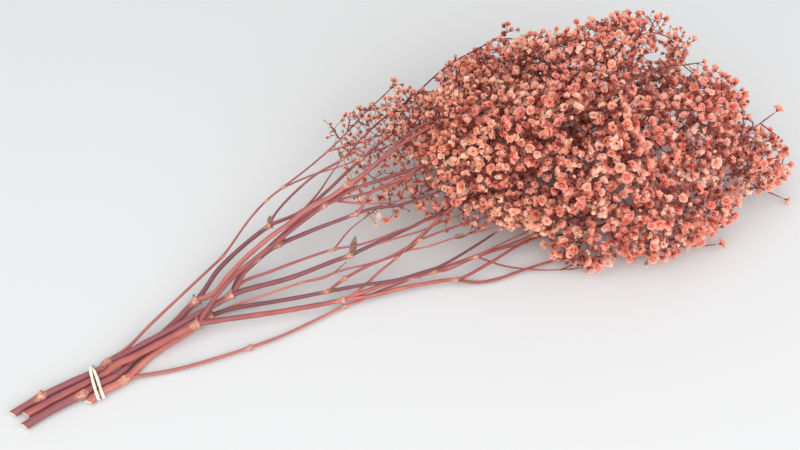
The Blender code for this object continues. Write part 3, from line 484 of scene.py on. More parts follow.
def grow(routes, rng):
    """Joins each floret place to the nearest stem that it can reach without crossing another."""
    tree = Tree()
    for route in routes:
        curve, _, r = curve_of(route, ROUTE_STEP)
        for k in range(len(curve) - 1):
            tree.capsule(curve[k], curve[k + 1], max(r[k], r[k + 1]), route[0])
            if curve[k][0] > TWIGS_FROM_X and k > 1:
                tree.starts.append((curve[k], unit(curve[k + 1] - curve[k]), route[0], 0))
    twigs = []
    # the end of each route carries its own floret
    for route in routes:
        if carried_on(route, routes):
            continue
        n, r1 = route[0], route[4]
        curve, _ = smooth(route[5], ROUTE_STEP)
        way = unit(curve[-1] - curve[-2])
        tip = curve[-1] + way * 8
        tip[2] = max(tip[2], FLORET_R + 0.2)
        ball = curve[-1] + (tip - curve[-1]) * 1.3
        if tree.free([(curve[-1], tip, TWIG_R)], (tip, ball, FLORET_R), n):
            twigs.append((n, np.array([curve[-1] - way * 2, tip]), min(r1, 0.9) * 0.9))
            tree.capsule(curve[-1], tip, r1, n)
            tree.capsule(tip, ball, FLORET_R, n, True)
    waiting = list(scatter(rng))
    done = [twig[1][-1] for twig in twigs]
    while waiting:
        at, way, owner, depth = columns(tree.starts)
        target = waiting.pop(int(np.argmin([nearest(at, p)[1] for p in waiting])))
        if done and nearest(np.array(done), target)[1] < TARGET_GAP * 0.7:
            continue
        offset = target - at
        d = np.linalg.norm(offset, axis=1)
        turn = 1 - np.einsum("ij,ij->i", offset / np.maximum(d, 1e-6)[:, None], way)
        cost = d * (1 + 0.55 * turn) + 5 * depth + (d < 9) * 12
        for k in np.argsort(cost)[:90]:
            if cost[k] > LONGEST_COST:
                break
            line = bend(at[k], way[k], target, 3 if d[k] > 17 else 2)
            line[:, 2] = np.maximum(line[:, 2], TWIG_R + 0.4)
            out = unit(line[-1] - line[-2])
            ball = target + out * FLORET_HIGH * 0.45
            pieces = [(p, q, TWIG_R) for p, q in zip(line, line[1:])]
            n = int(owner[k])
            if tree.free(pieces, (target, ball, FLORET_R), n):
                twigs.append((n, line, TWIG_R))
                done.append(target)
                for piece in pieces:
                    tree.capsule(*piece, n)
                tree.capsule(target, ball, FLORET_R, n, True)
                if depth[k] < 3:
                    tree.starts.append((line[-2] + (target - line[-2]) * 0.5, out, n, depth[k] + 1))
                    if len(line) > 2:
                        tree.starts.append((line[1], out, n, depth[k] + 1))
                break
    return twigs


def frames(points):
    """A tangent and two cross directions at each point, carried along without twisting."""
    way = np.gradient(points, axis=0)
    way /= np.linalg.norm(way, axis=1)[:, None]
    side = np.cross(way[0], [0.0, 0.0, 1.0] if abs(way[0][2]) < 0.9 else [1.0, 0.0, 0.0])
    sides = []
    for w in way:
        side = side - w * (side @ w)
        side /= np.linalg.norm(side)
        sides.append(side)
    sides = np.array(sides)
    return way, sides, np.cross(way, sides)


def band_corners():
    """The rubber band's sections: a closed strip that goes round the stems twice and crosses itself once."""
    middle = BAND_STEM_GAP + BAND_THICK / 2
    cloud = []
    for y, r in BAND_STEMS:
        for k in range(96):
            a = k * math.pi / 48
            cloud.append((y + math.cos(a) * (r + middle), r + STEM_BOTTOM + math.sin(a) * (r + middle)))
    cloud = sorted(set(cloud))
    hull = []
    for order in (cloud, cloud[::-1]):
        half = []
        for p in order:
            while len(half) > 1 and (
                (half[-1][0] - half[-2][0]) * (p[1] - half[-2][1])
                - (half[-1][1] - half[-2][1]) * (p[0] - half[-2][0])
            ) <= 0:
                half.pop()
            half.append(p)
        hull += half[:-1]
    hull = np.array(hull)
    start = int(np.argmax(hull[:, 0]))
    hull = np.vstack([hull[start:], hull[: start + 1]])
    run = lengths(hull)
    share = np.arange(2 * BAND_STATIONS) / BAND_STATIONS
    at = (share * run[-1] + BAND_CROSSING_UP) % run[-1]
    y, z = (np.interp(at, run, hull[:, k]) for k in (0, 1))
    ahead, back = (at + 0.4) % run[-1], (at - 0.4) % run[-1]
    ty, tz = (np.interp(ahead, run, hull[:, k]) - np.interp(back, run, hull[:, k]) for k in (0, 1))
    size = np.hypot(ty, tz)
    ny, nz = tz / size, -ty / size
    lift = np.clip((0.13 - np.abs(share - 1)) / 0.045, 0, 1)
    lift = BAND_CROSSING_LIFT * lift**2 * (3 - 2 * lift)
    x = BAND_MIDDLE_X + BAND_SHIFT * np.tanh(3.2 * np.sin(math.pi * share))
    flat = np.abs(z - (STEM_BOTTOM - middle)) < 0.05
    ny[flat], nz[flat] = 0.0, -1.0
    corners = []
    for dx, dn in ((1, 1), (-1, 1), (-1, -1), (1, -1)):
        out = lift + dn * BAND_THICK / 2
        corners.append(np.column_stack([x + dx * BAND_WIDE / 2, y + ny * out, z + nz * out]))
    return np.stack(corners, axis=1)


# Meshes of the finer pieces


class Heap:
    """Points and faces of one piece, with what its material reads at each point."""

    def __init__(self):
        self.verts, self.quads, self.tris, self.look, self.run = [], [], [], [], []
        self.count = 0

    def add(self, verts, quads, tris, look, run=None):
        verts = np.asarray(verts, float).reshape(-1, 3)
        n = len(verts)
        self.verts.append(verts)
        self.look.append(np.broadcast_to(np.asarray(look, float), (n, 4)))
        self.run.append(verts if run is None else run)
        self.quads.append(np.asarray(quads, int).reshape(-1, 4) + self.count)
        self.tris.append(np.asarray(tris, int).reshape(-1, 3) + self.count)
        self.count += n

    def make(self, name, material):
        verts = np.concatenate(self.verts) * MM
        verts[:, 2] = np.maximum(verts[:, 2], 0.0)
        quads, tris = np.concatenate(self.quads), np.concatenate(self.tris)
        corners = np.concatenate([quads.ravel(), tris.ravel()]).astype(np.int32)
        sizes = np.concatenate([np.full(len(quads), 4), np.full(len(tris), 3)])
        starts = np.concatenate([[0], np.cumsum(sizes)[:-1]]).astype(np.int32)
        mesh = bpy.data.meshes.new(name)
        mesh.vertices.add(len(verts))
        mesh.vertices.foreach_set("co", verts.ravel())
        mesh.loops.add(len(corners))
        mesh.loops.foreach_set("vertex_index", corners)
        mesh.polygons.add(len(sizes))
        mesh.polygons.foreach_set("loop_start", starts)
        mesh.polygons.foreach_set("use_smooth", np.full(len(sizes), True))
        mesh.update(calc_edges=True)
        mesh.validate()
        look, run = np.concatenate(self.look), np.concatenate(self.run)
        mesh.attributes.new("look", "FLOAT_COLOR", "POINT").data.foreach_set("color", look.ravel())
        mesh.attributes.new("run", "FLOAT_VECTOR", "POINT").data.foreach_set("vector", run.ravel())
        mesh.materials.append(material)
        obj = bpy.data.objects.new(name, mesh)
        bpy.context.scene.collection.objects.link(obj)
        return obj


def ring_quads(rings, sides, closed=False):
    """Faces of a tube between rings of points, and from the last ring to the first when closed."""
    k, q = np.meshgrid(np.arange(rings - 1 + closed), np.arange(sides), indexing="ij")
    a, b = k * sides + q, k * sides + (q + 1) % sides
    return np.stack([a, b, b + sides, a + sides], axis=-1).reshape(-1, 4) % (rings * sides)


def sheet_quads(rows, across):
    """Faces of a sheet of points, row by row."""
    r, c = np.meshgrid(np.arange(rows), np.arange(across), indexing="ij")
    a = (across + 1) * r + c
    return np.stack([a, a + 1, a + across + 2, a + across + 1], axis=-1).reshape(-1, 4)


def stations(points, share, knots, step):
    """The curve again with even steps, and closer ones round its joints."""
    run = lengths(points)
    wanted = list(np.linspace(0, run[-1], max(3, int(run[-1] / step))))
    for k in knots:
        wanted += list(np.interp(k, share, run) + np.arange(-4.2, 4.3, 0.6))
    wanted = np.unique(np.round([w for w in wanted if 0 <= w <= run[-1]], 2))
    wanted = wanted[np.concatenate([[True], np.diff(wanted) > 0.3])]
    wanted[-1] = run[-1]
    curve = np.column_stack([np.interp(wanted, run, points[:, k]) for k in range(3)])
    return curve, np.interp(wanted, run, share)


def sweep(heap, points, radii, sides, look, seed, ridge=0.0, slant=None, close=True):
    """A tube with ridges along it. run holds round-and-along coordinates for the grain."""
    way, side, up = frames(points)
    n = len(points)
    turn = np.arange(sides) * 2 * math.pi / sides
    along = lengths(points)
    phase = turn[None] + 0.5 * np.sin(along / 31.0 + seed)[:, None]
    wave = 1 + ridge * (np.sin(3 * phase + seed) + 0.5 * np.sin(5 * phase + 2.1 * seed))
    ring = np.cos(turn)[None, :, None] * side[:, None] + np.sin(turn)[None, :, None] * up[:, None]
    verts = points[:, None] + ring * (radii[:, None] * wave)[:, :, None]
    if slant is not None:
        verts[0] += way[0] * (ring[0] @ side[0])[:, None] * slant
    run = np.empty((n, sides, 3))
    run[:, :, 0] = np.cos(turn)[None] * radii[:, None] + seed * 7.3
    run[:, :, 1] = np.sin(turn)[None] * radii[:, None]
    run[:, :, 2] = along[:, None]
    look = np.broadcast_to(np.asarray(look, float), (n, 4))
    look = np.repeat(look[:, None], sides, axis=1).reshape(-1, 4)
    quads = list(ring_quads(n, sides))
    verts, run = verts.reshape(-1, 3), run.reshape(-1, 3)
    tris = []
    if slant is not None:
        # the cut face, sunk a little in the middle, with its own colour
        rim = verts[:sides]
        middle = rim.mean(axis=0)
        for scale, sink in ((0.93, 0.0), (0.5, 0.25)):
            verts = np.vstack([verts, middle + (rim - middle) * scale + way[0] * sink])
        verts = np.vstack([verts, middle + way[0] * 0.3])
        inner = n * sides
        for q in range(sides):
            r = (q + 1) % sides
            quads.append((r, q, inner + q, inner + r))
            quads.append((inner + r, inner + q, inner + sides + q, inner + sides + r))
            tris.append((inner + sides + r, inner + sides + q, inner + 2 * sides))
        look = np.vstack([look, np.tile((look[0, 0], 0, 1, 0), (2 * sides + 1, 1))])
        run = np.vstack([run, verts[inner:]])
    elif close:
        verts = np.vstack([verts, points[0]])
        run, look = np.vstack([run, run[:1]]), np.vstack([look, look[:1]])
        tris += [((q + 1) % sides, q, len(verts) - 1) for q in range(sides)]
    if close:
        last = (n - 1) * sides
        verts = np.vstack([verts, points[-1] + way[-1] * radii[-1] * 0.4])
        run, look = np.vstack([run, run[last : last + 1]]), np.vstack([look, look[last : last + 1]])
        tris += [(last + q, last + (q + 1) % sides, len(verts) - 1) for q in range(sides)]
    heap.add(verts, quads, tris, look, run)


def eased(curve, first, last, reach):
    """The curve with its short waves taken out between two places along X."""
    near = np.pad(curve, ((reach, reach), (0, 0)), mode="edge")
    even = np.array([near[k : k + 2 * reach + 1].mean(axis=0) for k in range(len(curve))])
    x = curve[:, 0]
    share = np.clip((x - first) / 6, 0, 1) * np.clip((last - x) / 8, 0, 1)
    return curve + (even - curve) * share[:, None]


def blade(heap, base, out, up, long, wide, fold, look, rows, droop):
    """A thin pointed leaf or sheath scale, folded along its middle."""
    out = unit(out)
    side = unit(np.cross(out, up))
    up = np.cross(side, out)
    t = np.linspace(0, 1, rows + 1)
    wave = np.sin(np.minimum(t * 1.25 + 0.22, 1.0) * math.pi) ** 0.8
    wave[-1] = 0.04
    verts = np.empty((rows + 1, 5, 3))
    for c, s in enumerate((-1, -0.5, 0, 0.5, 1)):
        high = long * (0.12 * t - droop * t**2) + fold * wide * abs(s) * wave
        place = base + out * (long * t)[:, None] + side * (s * wide / 2 * wave)[:, None]
        verts[:, c] = place + up * high[:, None]
    heap.add(verts, sheet_quads(rows, 4), [], look)


# Florets: whorls of petals as (count, start radius, height, length, width, lift, curl)
OPEN = [
    (6, 0.5, 1.3, 2.6, 3.5, 16, 12),
    (5, 0.4, 1.6, 2.6, 3.3, 40, 14),
    (4, 0.3, 1.8, 2.5, 2.9, 62, 18),
    (2, 0.4, 1.9, 2.3, 2.6, 82, 24),
]
SMALL = [(5, 0.45, 1.4, 2.6, 3.6, 28, 12), (4, 0.35, 1.8, 2.5, 3.2, 62, 20)]
HALF = [(4, 0.4, 1.4, 2.6, 2.8, 58, 14), (3, 0.3, 1.6, 2.6, 2.4, 80, 22)]
PETAL_CELLS = 2
# Calyx and bud as rings: radius, height
CALYX = ((0.25, -0.1), (0.8, 0.45), (1.0, 1.3), (1.3, 2.1))
BUD = ((0.2, -0.1), (1.0, 0.5), (1.35, 1.5), (0.95, 2.6), (0.12, 3.3))
# How many shapes of each kind there are, and where each kind starts
SHAPES = ((OPEN, 8), (SMALL, 6), (HALF, 3))
SMALL_FIRST, HALF_FIRST, BUD_KIND = 8, 14, 17


def petal(length, width, lift, curl, rng):
    """A broad petal with a ragged, ruffled rim, its foot at the origin and pointing along X."""
    t = np.linspace(0, 1, PETAL_CELLS + 1)
    angle = np.radians(lift + curl * t**1.2 + rng.normal() * 8)
    step = length / PETAL_CELLS
    out = np.concatenate([[0], np.cumsum(np.cos(angle[:-1]) * step)])
    high = np.concatenate([[0], np.cumsum(np.sin(angle[:-1]) * step)])
    wide = width * np.interp(t, [0, 0.4, 0.75, 1], [0.2, 0.66, 1.0, 0.9])
    verts = np.empty((PETAL_CELLS + 1, PETAL_CELLS + 1, 3))
    flip = rng.choice([-1, 1])
    for c, s in enumerate(np.linspace(-1, 1, PETAL_CELLS + 1)):
        ragged = rng.normal(size=PETAL_CELLS + 1) * 0.1 * length * t**2
        ruffle = flip * (-1) ** c * (0.34 + 0.16 * rng.normal()) * t**1.4
        verts[:, c, 0] = out - 0.2 * length * s * s * t**2 + ragged
        verts[:, c, 1] = s * wide / 2
        verts[:, c, 2] = high + 0.1 * wide * s * s + ruffle
    return verts.reshape(-1, 3), np.repeat(t, PETAL_CELLS + 1)


def turned_rings(rings, sides):
    """Rings of points about Z, joined by faces."""
    turn = np.arange(sides) * math.tau / sides
    verts = [np.column_stack([r * np.cos(turn), r * np.sin(turn), np.full(sides, z)]) for r, z in rings]
    return np.concatenate(verts), ring_quads(len(rings), sides)


def floret_shape(whorls, rng):
    """One floret, its stalk end at the origin and its face along +Z: points, quads, tip and calyx share."""
    verts, quads, tip, green = [], [], [], []
    faces = sheet_quads(PETAL_CELLS, PETAL_CELLS)
    count = 0
    start = rng.random() * math.tau
    for number, radius, height, length, width, lift, curl in whorls:
        start += math.pi / number + rng.normal() * 0.2
        for k in range(number):
            scale = 1 + rng.normal() * 0.09
            bent = lift + rng.normal() * 9
            v, t = petal(length * scale, width * scale, bent, curl + rng.normal() * 18, rng)
            a = start + k * math.tau / number + rng.normal() * 0.18
            roll = rng.normal() * 0.3
            x = v[:, 0] + radius
            y = v[:, 1] * math.cos(roll)
            z = v[:, 2] + v[:, 1] * math.sin(roll) + height
            turned = (x * math.cos(a) - y * math.sin(a), x * math.sin(a) + y * math.cos(a), z)
            verts.append(np.column_stack(turned))
            quads.append(faces + count)
            tip.append(t + rng.normal() * 0.14 + lift / 500)
            green.append(np.zeros(len(t)))
            count += len(v)
    cup, faces = turned_rings(CALYX, 4)
    verts.append(cup)
    quads.append(faces + count)
    tip.append(cup[:, 2] / CALYX[-1][1])
    green.append(np.ones(len(cup)))
    return [np.concatenate(part) for part in (verts, quads, tip, green)]


def bud_shape():
    """A closed bud: a round calyx with the petals' tip showing."""
    verts, quads = turned_rings(BUD, 5)
    tip = verts[:, 2] / BUD[-1][1]
    return verts, quads, tip, np.where(tip < 0.6, 0.75, 0.1)


def place_florets(heap, shapes, kinds, places, ways, sizes, shades, hues, rng):
    """Copies of the shapes, each turned to face along its stalk and a little out of round."""
    for kind, (verts, quads, tip, green) in enumerate(shapes):
        chosen = np.nonzero(kinds == kind)[0]
        if not len(chosen):
            continue
        z = ways[chosen]
        x = unit_rows(np.cross(z, rng.normal(size=z.shape)))
        y = np.cross(z, x)
        m, n = len(chosen), len(verts)
        uneven = (1 + rng.normal(size=(m, 3)) * SIZE_SPREAD) * sizes[chosen][:, None]
        placed = places[chosen][:, None] + sum(
            verts[None, :, k : k + 1] * (axis * uneven[:, k : k + 1])[:, None]
            for k, axis in enumerate((x, y, z))
        )
        # a floret that would reach through the table is raised on its stalk
        placed[:, :, 2] += np.maximum(0.3 - placed[:, :, 2].min(axis=1), 0)[:, None]
        faces = quads[None] + (np.arange(m) * n)[:, None, None]
        shade, hue = shades[chosen][:, None], hues[chosen][:, None]
        look = np.stack(np.broadcast_arrays(tip[None], shade, green[None], hue), axis=-1)
        run = verts[None] + shade[:, :, None] * 40
        heap.add(placed, faces, [], look.reshape(-1, 4), run.reshape(-1, 3))


def clumps(points, seed, low, high):
    """A smooth field of about -1 to 1 with waves of low to high millimetres."""
    rng = np.random.default_rng(seed)
    waves = rng.normal(size=(9, 3))
    waves *= (math.tau / rng.uniform(low, high, 9) / np.linalg.norm(waves, axis=1))[:, None]
    return np.sin(points @ waves.T + rng.random(9) * math.tau).mean(axis=1) * 2.1


def depth_in(lobes, points):
    """How deep each point lies: 0 in the middle of a lobe, 1 on its skin, more outside."""
    deep = [(((points - np.array(c)) / np.array(h)) ** 2).sum(axis=1) for c, h in lobes]
    return np.sqrt(np.min(deep, axis=0))


def floret_scale(points):
    """How big the florets are: small on the stem side, far side and right end of the head."""
    x, y, z = points.T
    far = np.interp(y + 0.5 * (z - 50), [25, 80], [1.0, 0.74])
    right_end = np.interp(x, [410, 475], [1.0, 0.82])
    return 1.12 * far * np.interp(x, [*STEM_SIDE_X, 310], [0.74, 0.88, 1.0]) * right_end


def candidates(rng, centres):
    """Random places round each model floret and in the lobes, and which of them are wanted."""
    ray = unit_rows(rng.normal(size=(TIP_TRIES + HEAD_TRIES, 3)))
    ray *= rng.random(len(ray))[:, None] ** (1 / 3)
    near_tip = ray[:TIP_TRIES] * TIP_REACH + centres[rng.integers(0, len(centres), TIP_TRIES)]
    middles, halves = (np.array([lobe[k] for lobe in LOBES], float) for k in (0, 1))
    weight = halves.prod(axis=1)
    pick = rng.choice(len(LOBES), size=HEAD_TRIES, p=weight / weight.sum())
    points = np.vstack([near_tip, middles[pick] + ray[TIP_TRIES:] * halves[pick] * 1.12])
    field = clumps(points, 5, 22, 44)
    deep = depth_in(LOBES, points)
    skin = np.interp(points[:, 0], [370, 430], [1.12, 1.0])
    skin *= np.interp(clumps(points, 14, 32, 70), [-0.7, 0.0], [0.74, 1.03])
    use = (deep < skin) & (field > -1.1)
    use[:TIP_TRIES] |= np.linalg.norm(ray[:TIP_TRIES], axis=1) * TIP_REACH < 5.0
    use &= (depth_in(HOLLOWS, points) >= 1) | (rng.random(len(points)) < 0.04)
    gap = np.interp(field, [-0.4, 0.2], [FINE_GAP_LOOSE, FINE_GAP])
    gap[:TIP_TRIES] = FINE_GAP + 0.4
    gap *= floret_scale(points) * np.interp(deep, [0.45, 0.7], [1.3, 1.0])
    gap *= np.interp(points[:, 0], [225, 275], [1.45, 1.0])
    return points, gap, use


def fine_places(rng, centres):
    """Scattered places for the finer florets, each clear of the others by its own gap."""
    points, gap, use = candidates(rng, centres)
    # one floret stays at the end of every model twig
    points[: len(centres)] = centres
    use[: len(centres)] = True
    order = rng.permutation(np.nonzero(use)[0])
    order = np.concatenate([np.arange(len(centres)), order[order >= len(centres)]])
    points, gap = points[order], gap[order]
    points[:, 2] = np.maximum(points[:, 2], LOWEST_FLORET)
    cells = (points // gap.max()).astype(int)
    around = [(i, j, k) for i in (-1, 0, 1) for j in (-1, 0, 1) for k in (-1, 0, 1)]
    grid, found = {}, []
    for (x, y, z), (ci, cj, ck), g in zip(points.tolist(), cells.tolist(), (gap**2).tolist()):
        others = (q for i, j, k in around for q in grid.get((ci + i, cj + j, ck + k), ()))
        if all((x - q[0]) ** 2 + (y - q[1]) ** 2 + (z - q[2]) ** 2 >= g for q in others):
            grid.setdefault((ci, cj, ck), []).append((x, y, z))
            found.append((x, y, z))
    found = np.array(found)
    reach = np.array([nearest(centres, p)[1] for p in found])
    return found[reach < FINE_REACH]


def fine_twigs(routes, twigs, rng):
    """Joins every finer floret to the nearest branch, twig or stalk by a curved stalk."""
    starts = []
    for n, route, up, r0, r1, points in routes:
        curve, _ = smooth(points, 5)
        for k in range(2, len(curve) - 1):
            if curve[k][0] > STALKS_FROM_X:
                starts.append((curve[k], unit(curve[k + 1] - curve[k]), n))
    centres = []
    for n, line, radius in twigs:
        for a, b in zip(line, line[1:]):
            starts += [(a + (b - a) * share, unit(b - a), n) for share in (0.33, 0.66, 1.0)]
        centres.append(line[-1] + unit(line[-1] - line[-2]) * FLORET_HIGH * 0.5)
    targets = fine_places(rng, np.array(centres))
    first, first_way, owner = columns(starts)
    near = np.array([nearest(first, p)[1] for p in targets])
    used, owner = len(first), list(owner)
    size = used + 2 * len(targets)
    at, way, depth = np.zeros((size, 3)), np.zeros((size, 3)), np.zeros(size)
    at[:used], way[:used] = first, first_way
    stalks = []
    for target in targets[np.argsort(near)]:
        offset = target - at[:used]
        d = np.linalg.norm(offset, axis=1)
        turn = 1 - np.einsum("ij,ij->i", offset, way[:used]) / np.maximum(d, 1e-6)
        k = int(np.argmin(d * (1 + 0.5 * turn) + 1.4 * depth[:used] + (d < 3.6) * 8))
        if d[k] > LONGEST_STALK:
            continue
        line = bend(at[k], way[k], target, 4 if d[k] > 7 else 3)
        line[:, 2] = np.maximum(line[:, 2], 0.8)
        stalks.append((owner[k], line, int(depth[k])))
        for q in (4, 7):
            at[used] = bend(at[k], way[k], target, 12)[q]
            way[used] = unit(line[-1] - line[-2])
            depth[used] = depth[k] + 1
            owner.append(owner[k])
            used += 1
    return stalks


# Materials


class Shades:
    """The nodes of one material. look holds what its mesh says at each point, and run the place on it."""

    def __init__(self, name):
        self.material = bpy.data.materials.new(name)
        self.material.use_nodes = True
        self.tree = self.material.node_tree
        self.tree.nodes.clear()
        look = self.add("ShaderNodeAttribute", attribute_name="look").outputs
        self.look = [*self.add("ShaderNodeSeparateColor", {"Color": look["Color"]}).outputs, look["Alpha"]]
        self.run = self.add("ShaderNodeAttribute", attribute_name="run").outputs["Vector"]

    def add(self, kind, inputs=None, **settings):
        node = self.tree.nodes.new(kind)
        for key, value in settings.items():
            setattr(node, key, value)
        for key, value in (inputs or {}).items():
            socket = node.inputs[key]
            if isinstance(value, bpy.types.NodeSocket):
                self.tree.links.new(value, socket)
            else:
                socket.default_value = (*value, 1) if socket.type == "RGBA" else value
        return node

    def noise(self, scale, detail, roughness=0.5, distortion=0.0, along=1.0):
        """Noise over the piece, drawn out along a stem where along is small."""
        place = self.add("ShaderNodeMapping", {"Vector": self.run, "Scale": (1.0, 1.0, along)}).outputs[0]
        inputs = {"Scale": scale, "Detail": detail, "Roughness": roughness, "Distortion": distortion}
        return self.add("ShaderNodeTexNoise", {"Vector": place, **inputs}).outputs["Fac"]

    def ramp(self, fac, stops):
        node = self.add("ShaderNodeValToRGB", {"Fac": fac})
        while len(node.color_ramp.elements) < len(stops):
            node.color_ramp.elements.new(0.5)
        for element, (place, colour) in zip(node.color_ramp.elements, stops):
            element.position = place
            element.color = (*colour, 1)
        return node.outputs["Color"]

    def mixed(self, fac, a, b, how="MIX"):
        inputs = {0: fac, 6: a, 7: b}
        return self.add("ShaderNodeMix", inputs, data_type="RGBA", blend_type=how).outputs[2]

    def scaled(self, value, low, high, to_low=0.0, to_high=1.0):
        limits = {"Value": value, "From Min": low, "From Max": high, "To Min": to_low, "To Max": to_high}
        return self.add("ShaderNodeMapRange", limits).outputs["Result"]

    def summed(self, a, b, how="ADD"):
        return self.add("ShaderNodeMath", {0: a, 1: b}, operation=how).outputs[0]

    def surface(self, colour, height, strength, depth, more):
        """The shader for a colour with fine relief, and the relief itself."""
        relief = {"Height": height, "Strength": strength, "Distance": depth}
        bump = self.add("ShaderNodeBump", relief).outputs[0]
        body = self.add("ShaderNodeBsdfPrincipled", {"Base Color": colour, "Normal": bump, **more})
        return body.outputs[0], bump

    def done(self, surface):
        self.add("ShaderNodeOutputMaterial", {"Surface": surface})
        return self.material


def petal_material():
    """Dyed petals from salmon to orange over the head, deep at the foot with painted shade and pale at the
    rim with a painted highlight.
    """
    s = Shades("dyed_petals")
    tip, shade, green, hue = s.look
    vein = s.noise(1.2, 3.0, 0.6)
    salmon = [(0.0, (0.4, 0.035, 0.025)), (0.3, (0.82, 0.12, 0.07)), (0.65, (0.97, 0.25, 0.155)),
              (1.0, (1.0, 0.58, 0.44))]
    orange = [(0.0, (0.44, 0.055, 0.02)), (0.3, (0.82, 0.17, 0.065)), (0.65, (0.97, 0.34, 0.15)),
              (1.0, (1.0, 0.65, 0.4))]
    dye = s.mixed(hue, s.ramp(shade, salmon), s.ramp(shade, orange))
    # painted shade: the foot of each petal is darkened, as in the creases between petals
    deep = s.mixed(1.0, dye, (0.86, 0.38, 0.28), "MULTIPLY")
    # painted highlight: the rim of each petal is paled towards cream
    painted_highlight_rim = s.mixed(0.56, dye, (1.0, 0.85, 0.76))
    share = s.scaled(s.summed(tip, s.summed(vein, 0.7, "MULTIPLY")), 0.25, 1.35)
    colour = s.mixed(s.scaled(share, 0.0, 0.4, 0.4, 1.0), deep, dye)
    colour = s.mixed(s.scaled(share, 0.42, 1.0), colour, painted_highlight_rim)
    cup = s.ramp(tip, [(0.0, (0.2, 0.075, 0.04)), (0.5, (0.46, 0.12, 0.07)), (1.0, (0.7, 0.2, 0.12))])
    colour = s.mixed(green, colour, cup)
    body, bump = s.surface(colour, vein, 0.35, 0.0003, {"Roughness": 0.8, "Specular IOR Level": 0.12})
    through = s.add("ShaderNodeBsdfTranslucent", {"Color": colour, "Normal": bump}).outputs[0]
    return s.done(s.add("ShaderNodeMixShader", {0: 0.4, 1: body, 2: through}).outputs[0])


def stem_material(name, low, middle, high):
    """Dyed bark: streaks along the stem, scuffs, orange joints with pale scars, and a pale cut face;
    branches inside the head are darker as painted shade.
    """
    s = Shades(name)
    shade, knot, cut, painted_head_shade = s.look
    fine = s.noise(2.4, 4.0, 0.65, along=0.06)
    patches = s.noise(0.09, 3.0)
    scuffs = s.noise(0.8, 5.0, 0.7)
    flank = s.noise(0.45, 2.0, along=0.03)
    total = s.summed(s.summed(fine, patches), shade)
    bark = s.ramp(s.scaled(total, 0.75, 2.0), [(0.0, low), (0.5, middle), (1.0, high)])
    bark = s.mixed(s.scaled(flank, 0.42, 0.58, 0.62, 0.0), bark, (0.25, 0.075, 0.095))
    # painted shade: the darker reds that branches take inside the head, where the florets shade them
    inner = [(0.0, (0.1, 0.016, 0.016)), (0.5, (0.22, 0.036, 0.03)), (1.0, (0.36, 0.08, 0.055))]
    colour = s.mixed(painted_head_shade, bark, s.ramp(s.scaled(total, 0.75, 1.95), inner))
    colour = s.mixed(s.scaled(scuffs, 0.62, 0.75, 0.0, 0.45), colour, (0.66, 0.33, 0.26))
    near = s.summed(knot, s.scaled(scuffs, 0.35, 0.65, -0.3, 0.12))
    joint = [(0.0, (0.36, 0.1, 0.075)), (0.5, (0.43, 0.14, 0.09)), (0.85, (0.5, 0.2, 0.13)),
             (1.0, (0.68, 0.38, 0.28))]
    colour = s.mixed(s.scaled(near, 0.1, 0.8, 0.0, 0.85), colour, s.ramp(near, joint))
    flecks = s.noise(0.55, 6.0, 0.75, 0.6)
    scar = s.summed(s.scaled(flecks, 0.52, 0.6), s.scaled(knot, 0.3, 0.75, 0.0, 0.8), "MULTIPLY")
    colour = s.mixed(scar, colour, (0.76, 0.5, 0.37))
    pith = s.ramp(scuffs, [(0.3, (0.62, 0.4, 0.3)), (0.6, (0.9, 0.78, 0.66))])
    height = s.summed(fine, s.summed(scuffs, 0.5, "MULTIPLY"))
    more = {"Roughness": 0.5, "Specular IOR Level": 0.45}
    return s.done(s.surface(s.mixed(cut, colour, pith), height, 0.6, 0.0006, more)[0])


def leaf_material():
    """Dry leaves: grey-green to brown, redder on some."""
    s = Shades("dry_leaf")
    noise = s.noise(0.6, 5.0)
    green = s.ramp(noise, [(0.3, (0.1, 0.075, 0.045)), (0.5, (0.17, 0.14, 0.08)), (0.7, (0.32, 0.22, 0.14))])
    colour = s.mixed(s.look[1], green, (0.32, 0.12, 0.08))
    return s.done(s.surface(colour, noise, 0.5, 0.0004, {"Roughness": 0.6})[0])


def band_material():
    """Cream rubber with faint stains."""
    s = Shades("cream_rubber")
    noise = s.noise(0.8, 4.0)
    colour = s.ramp(noise, [(0.3, (0.66, 0.6, 0.47)), (0.6, (0.8, 0.76, 0.64))])
    more = {"Roughness": 0.45, "Subsurface Weight": 0.15, "Subsurface Radius": (0.002, 0.0015, 0.001)}
    return s.done(s.surface(colour, noise, 0.3, 0.0002, more)[0])


def table_material():
    s = Shades("pale_table")
    body = s.add("ShaderNodeBsdfPrincipled", {"Base Color": (0.6, 0.605, 0.61), "Roughness": 0.7})
    return s.done(body.outputs[0])


# The table, the lights as (name, place, size, watts, colour), and the camera of the photograph, in metres
TABLE_HALF = 6.0
WORLD_COLOUR = (0.975, 0.985, 1.0, 1)
WORLD_STRENGTH = 0.73
LIGHTS = (
    ("key", (-1.1, -0.8, 1.3), 2.4, 25.0, (1.0, 0.985, 0.96)),
    ("fill", (0.75, -1.2, 0.65), 1.8, 19.0, (0.98, 0.99, 1.0)),
    ("top", (0.0, 0.0, 1.6), 1.4, 6.5, (1.0, 0.99, 0.97)),
)
LIT_POINT = (0.25, 0.03, 0.03)
CAMERA_PLACE = (0.0437, -0.3975, 0.6553)
CAMERA_TARGET = (0.2335, 0.0392, 0)


def aimed(name, data, place, target):
    """An object at a place, turned to look at the target."""
    obj = bpy.data.objects.new(name, data)
    obj.location = place
    obj.rotation_mode = "QUATERNION"
    obj.rotation_quaternion = (Vector(target) - Vector(place)).to_track_quat("-Z", "Y")
    bpy.context.scene.collection.objects.link(obj)
    return obj


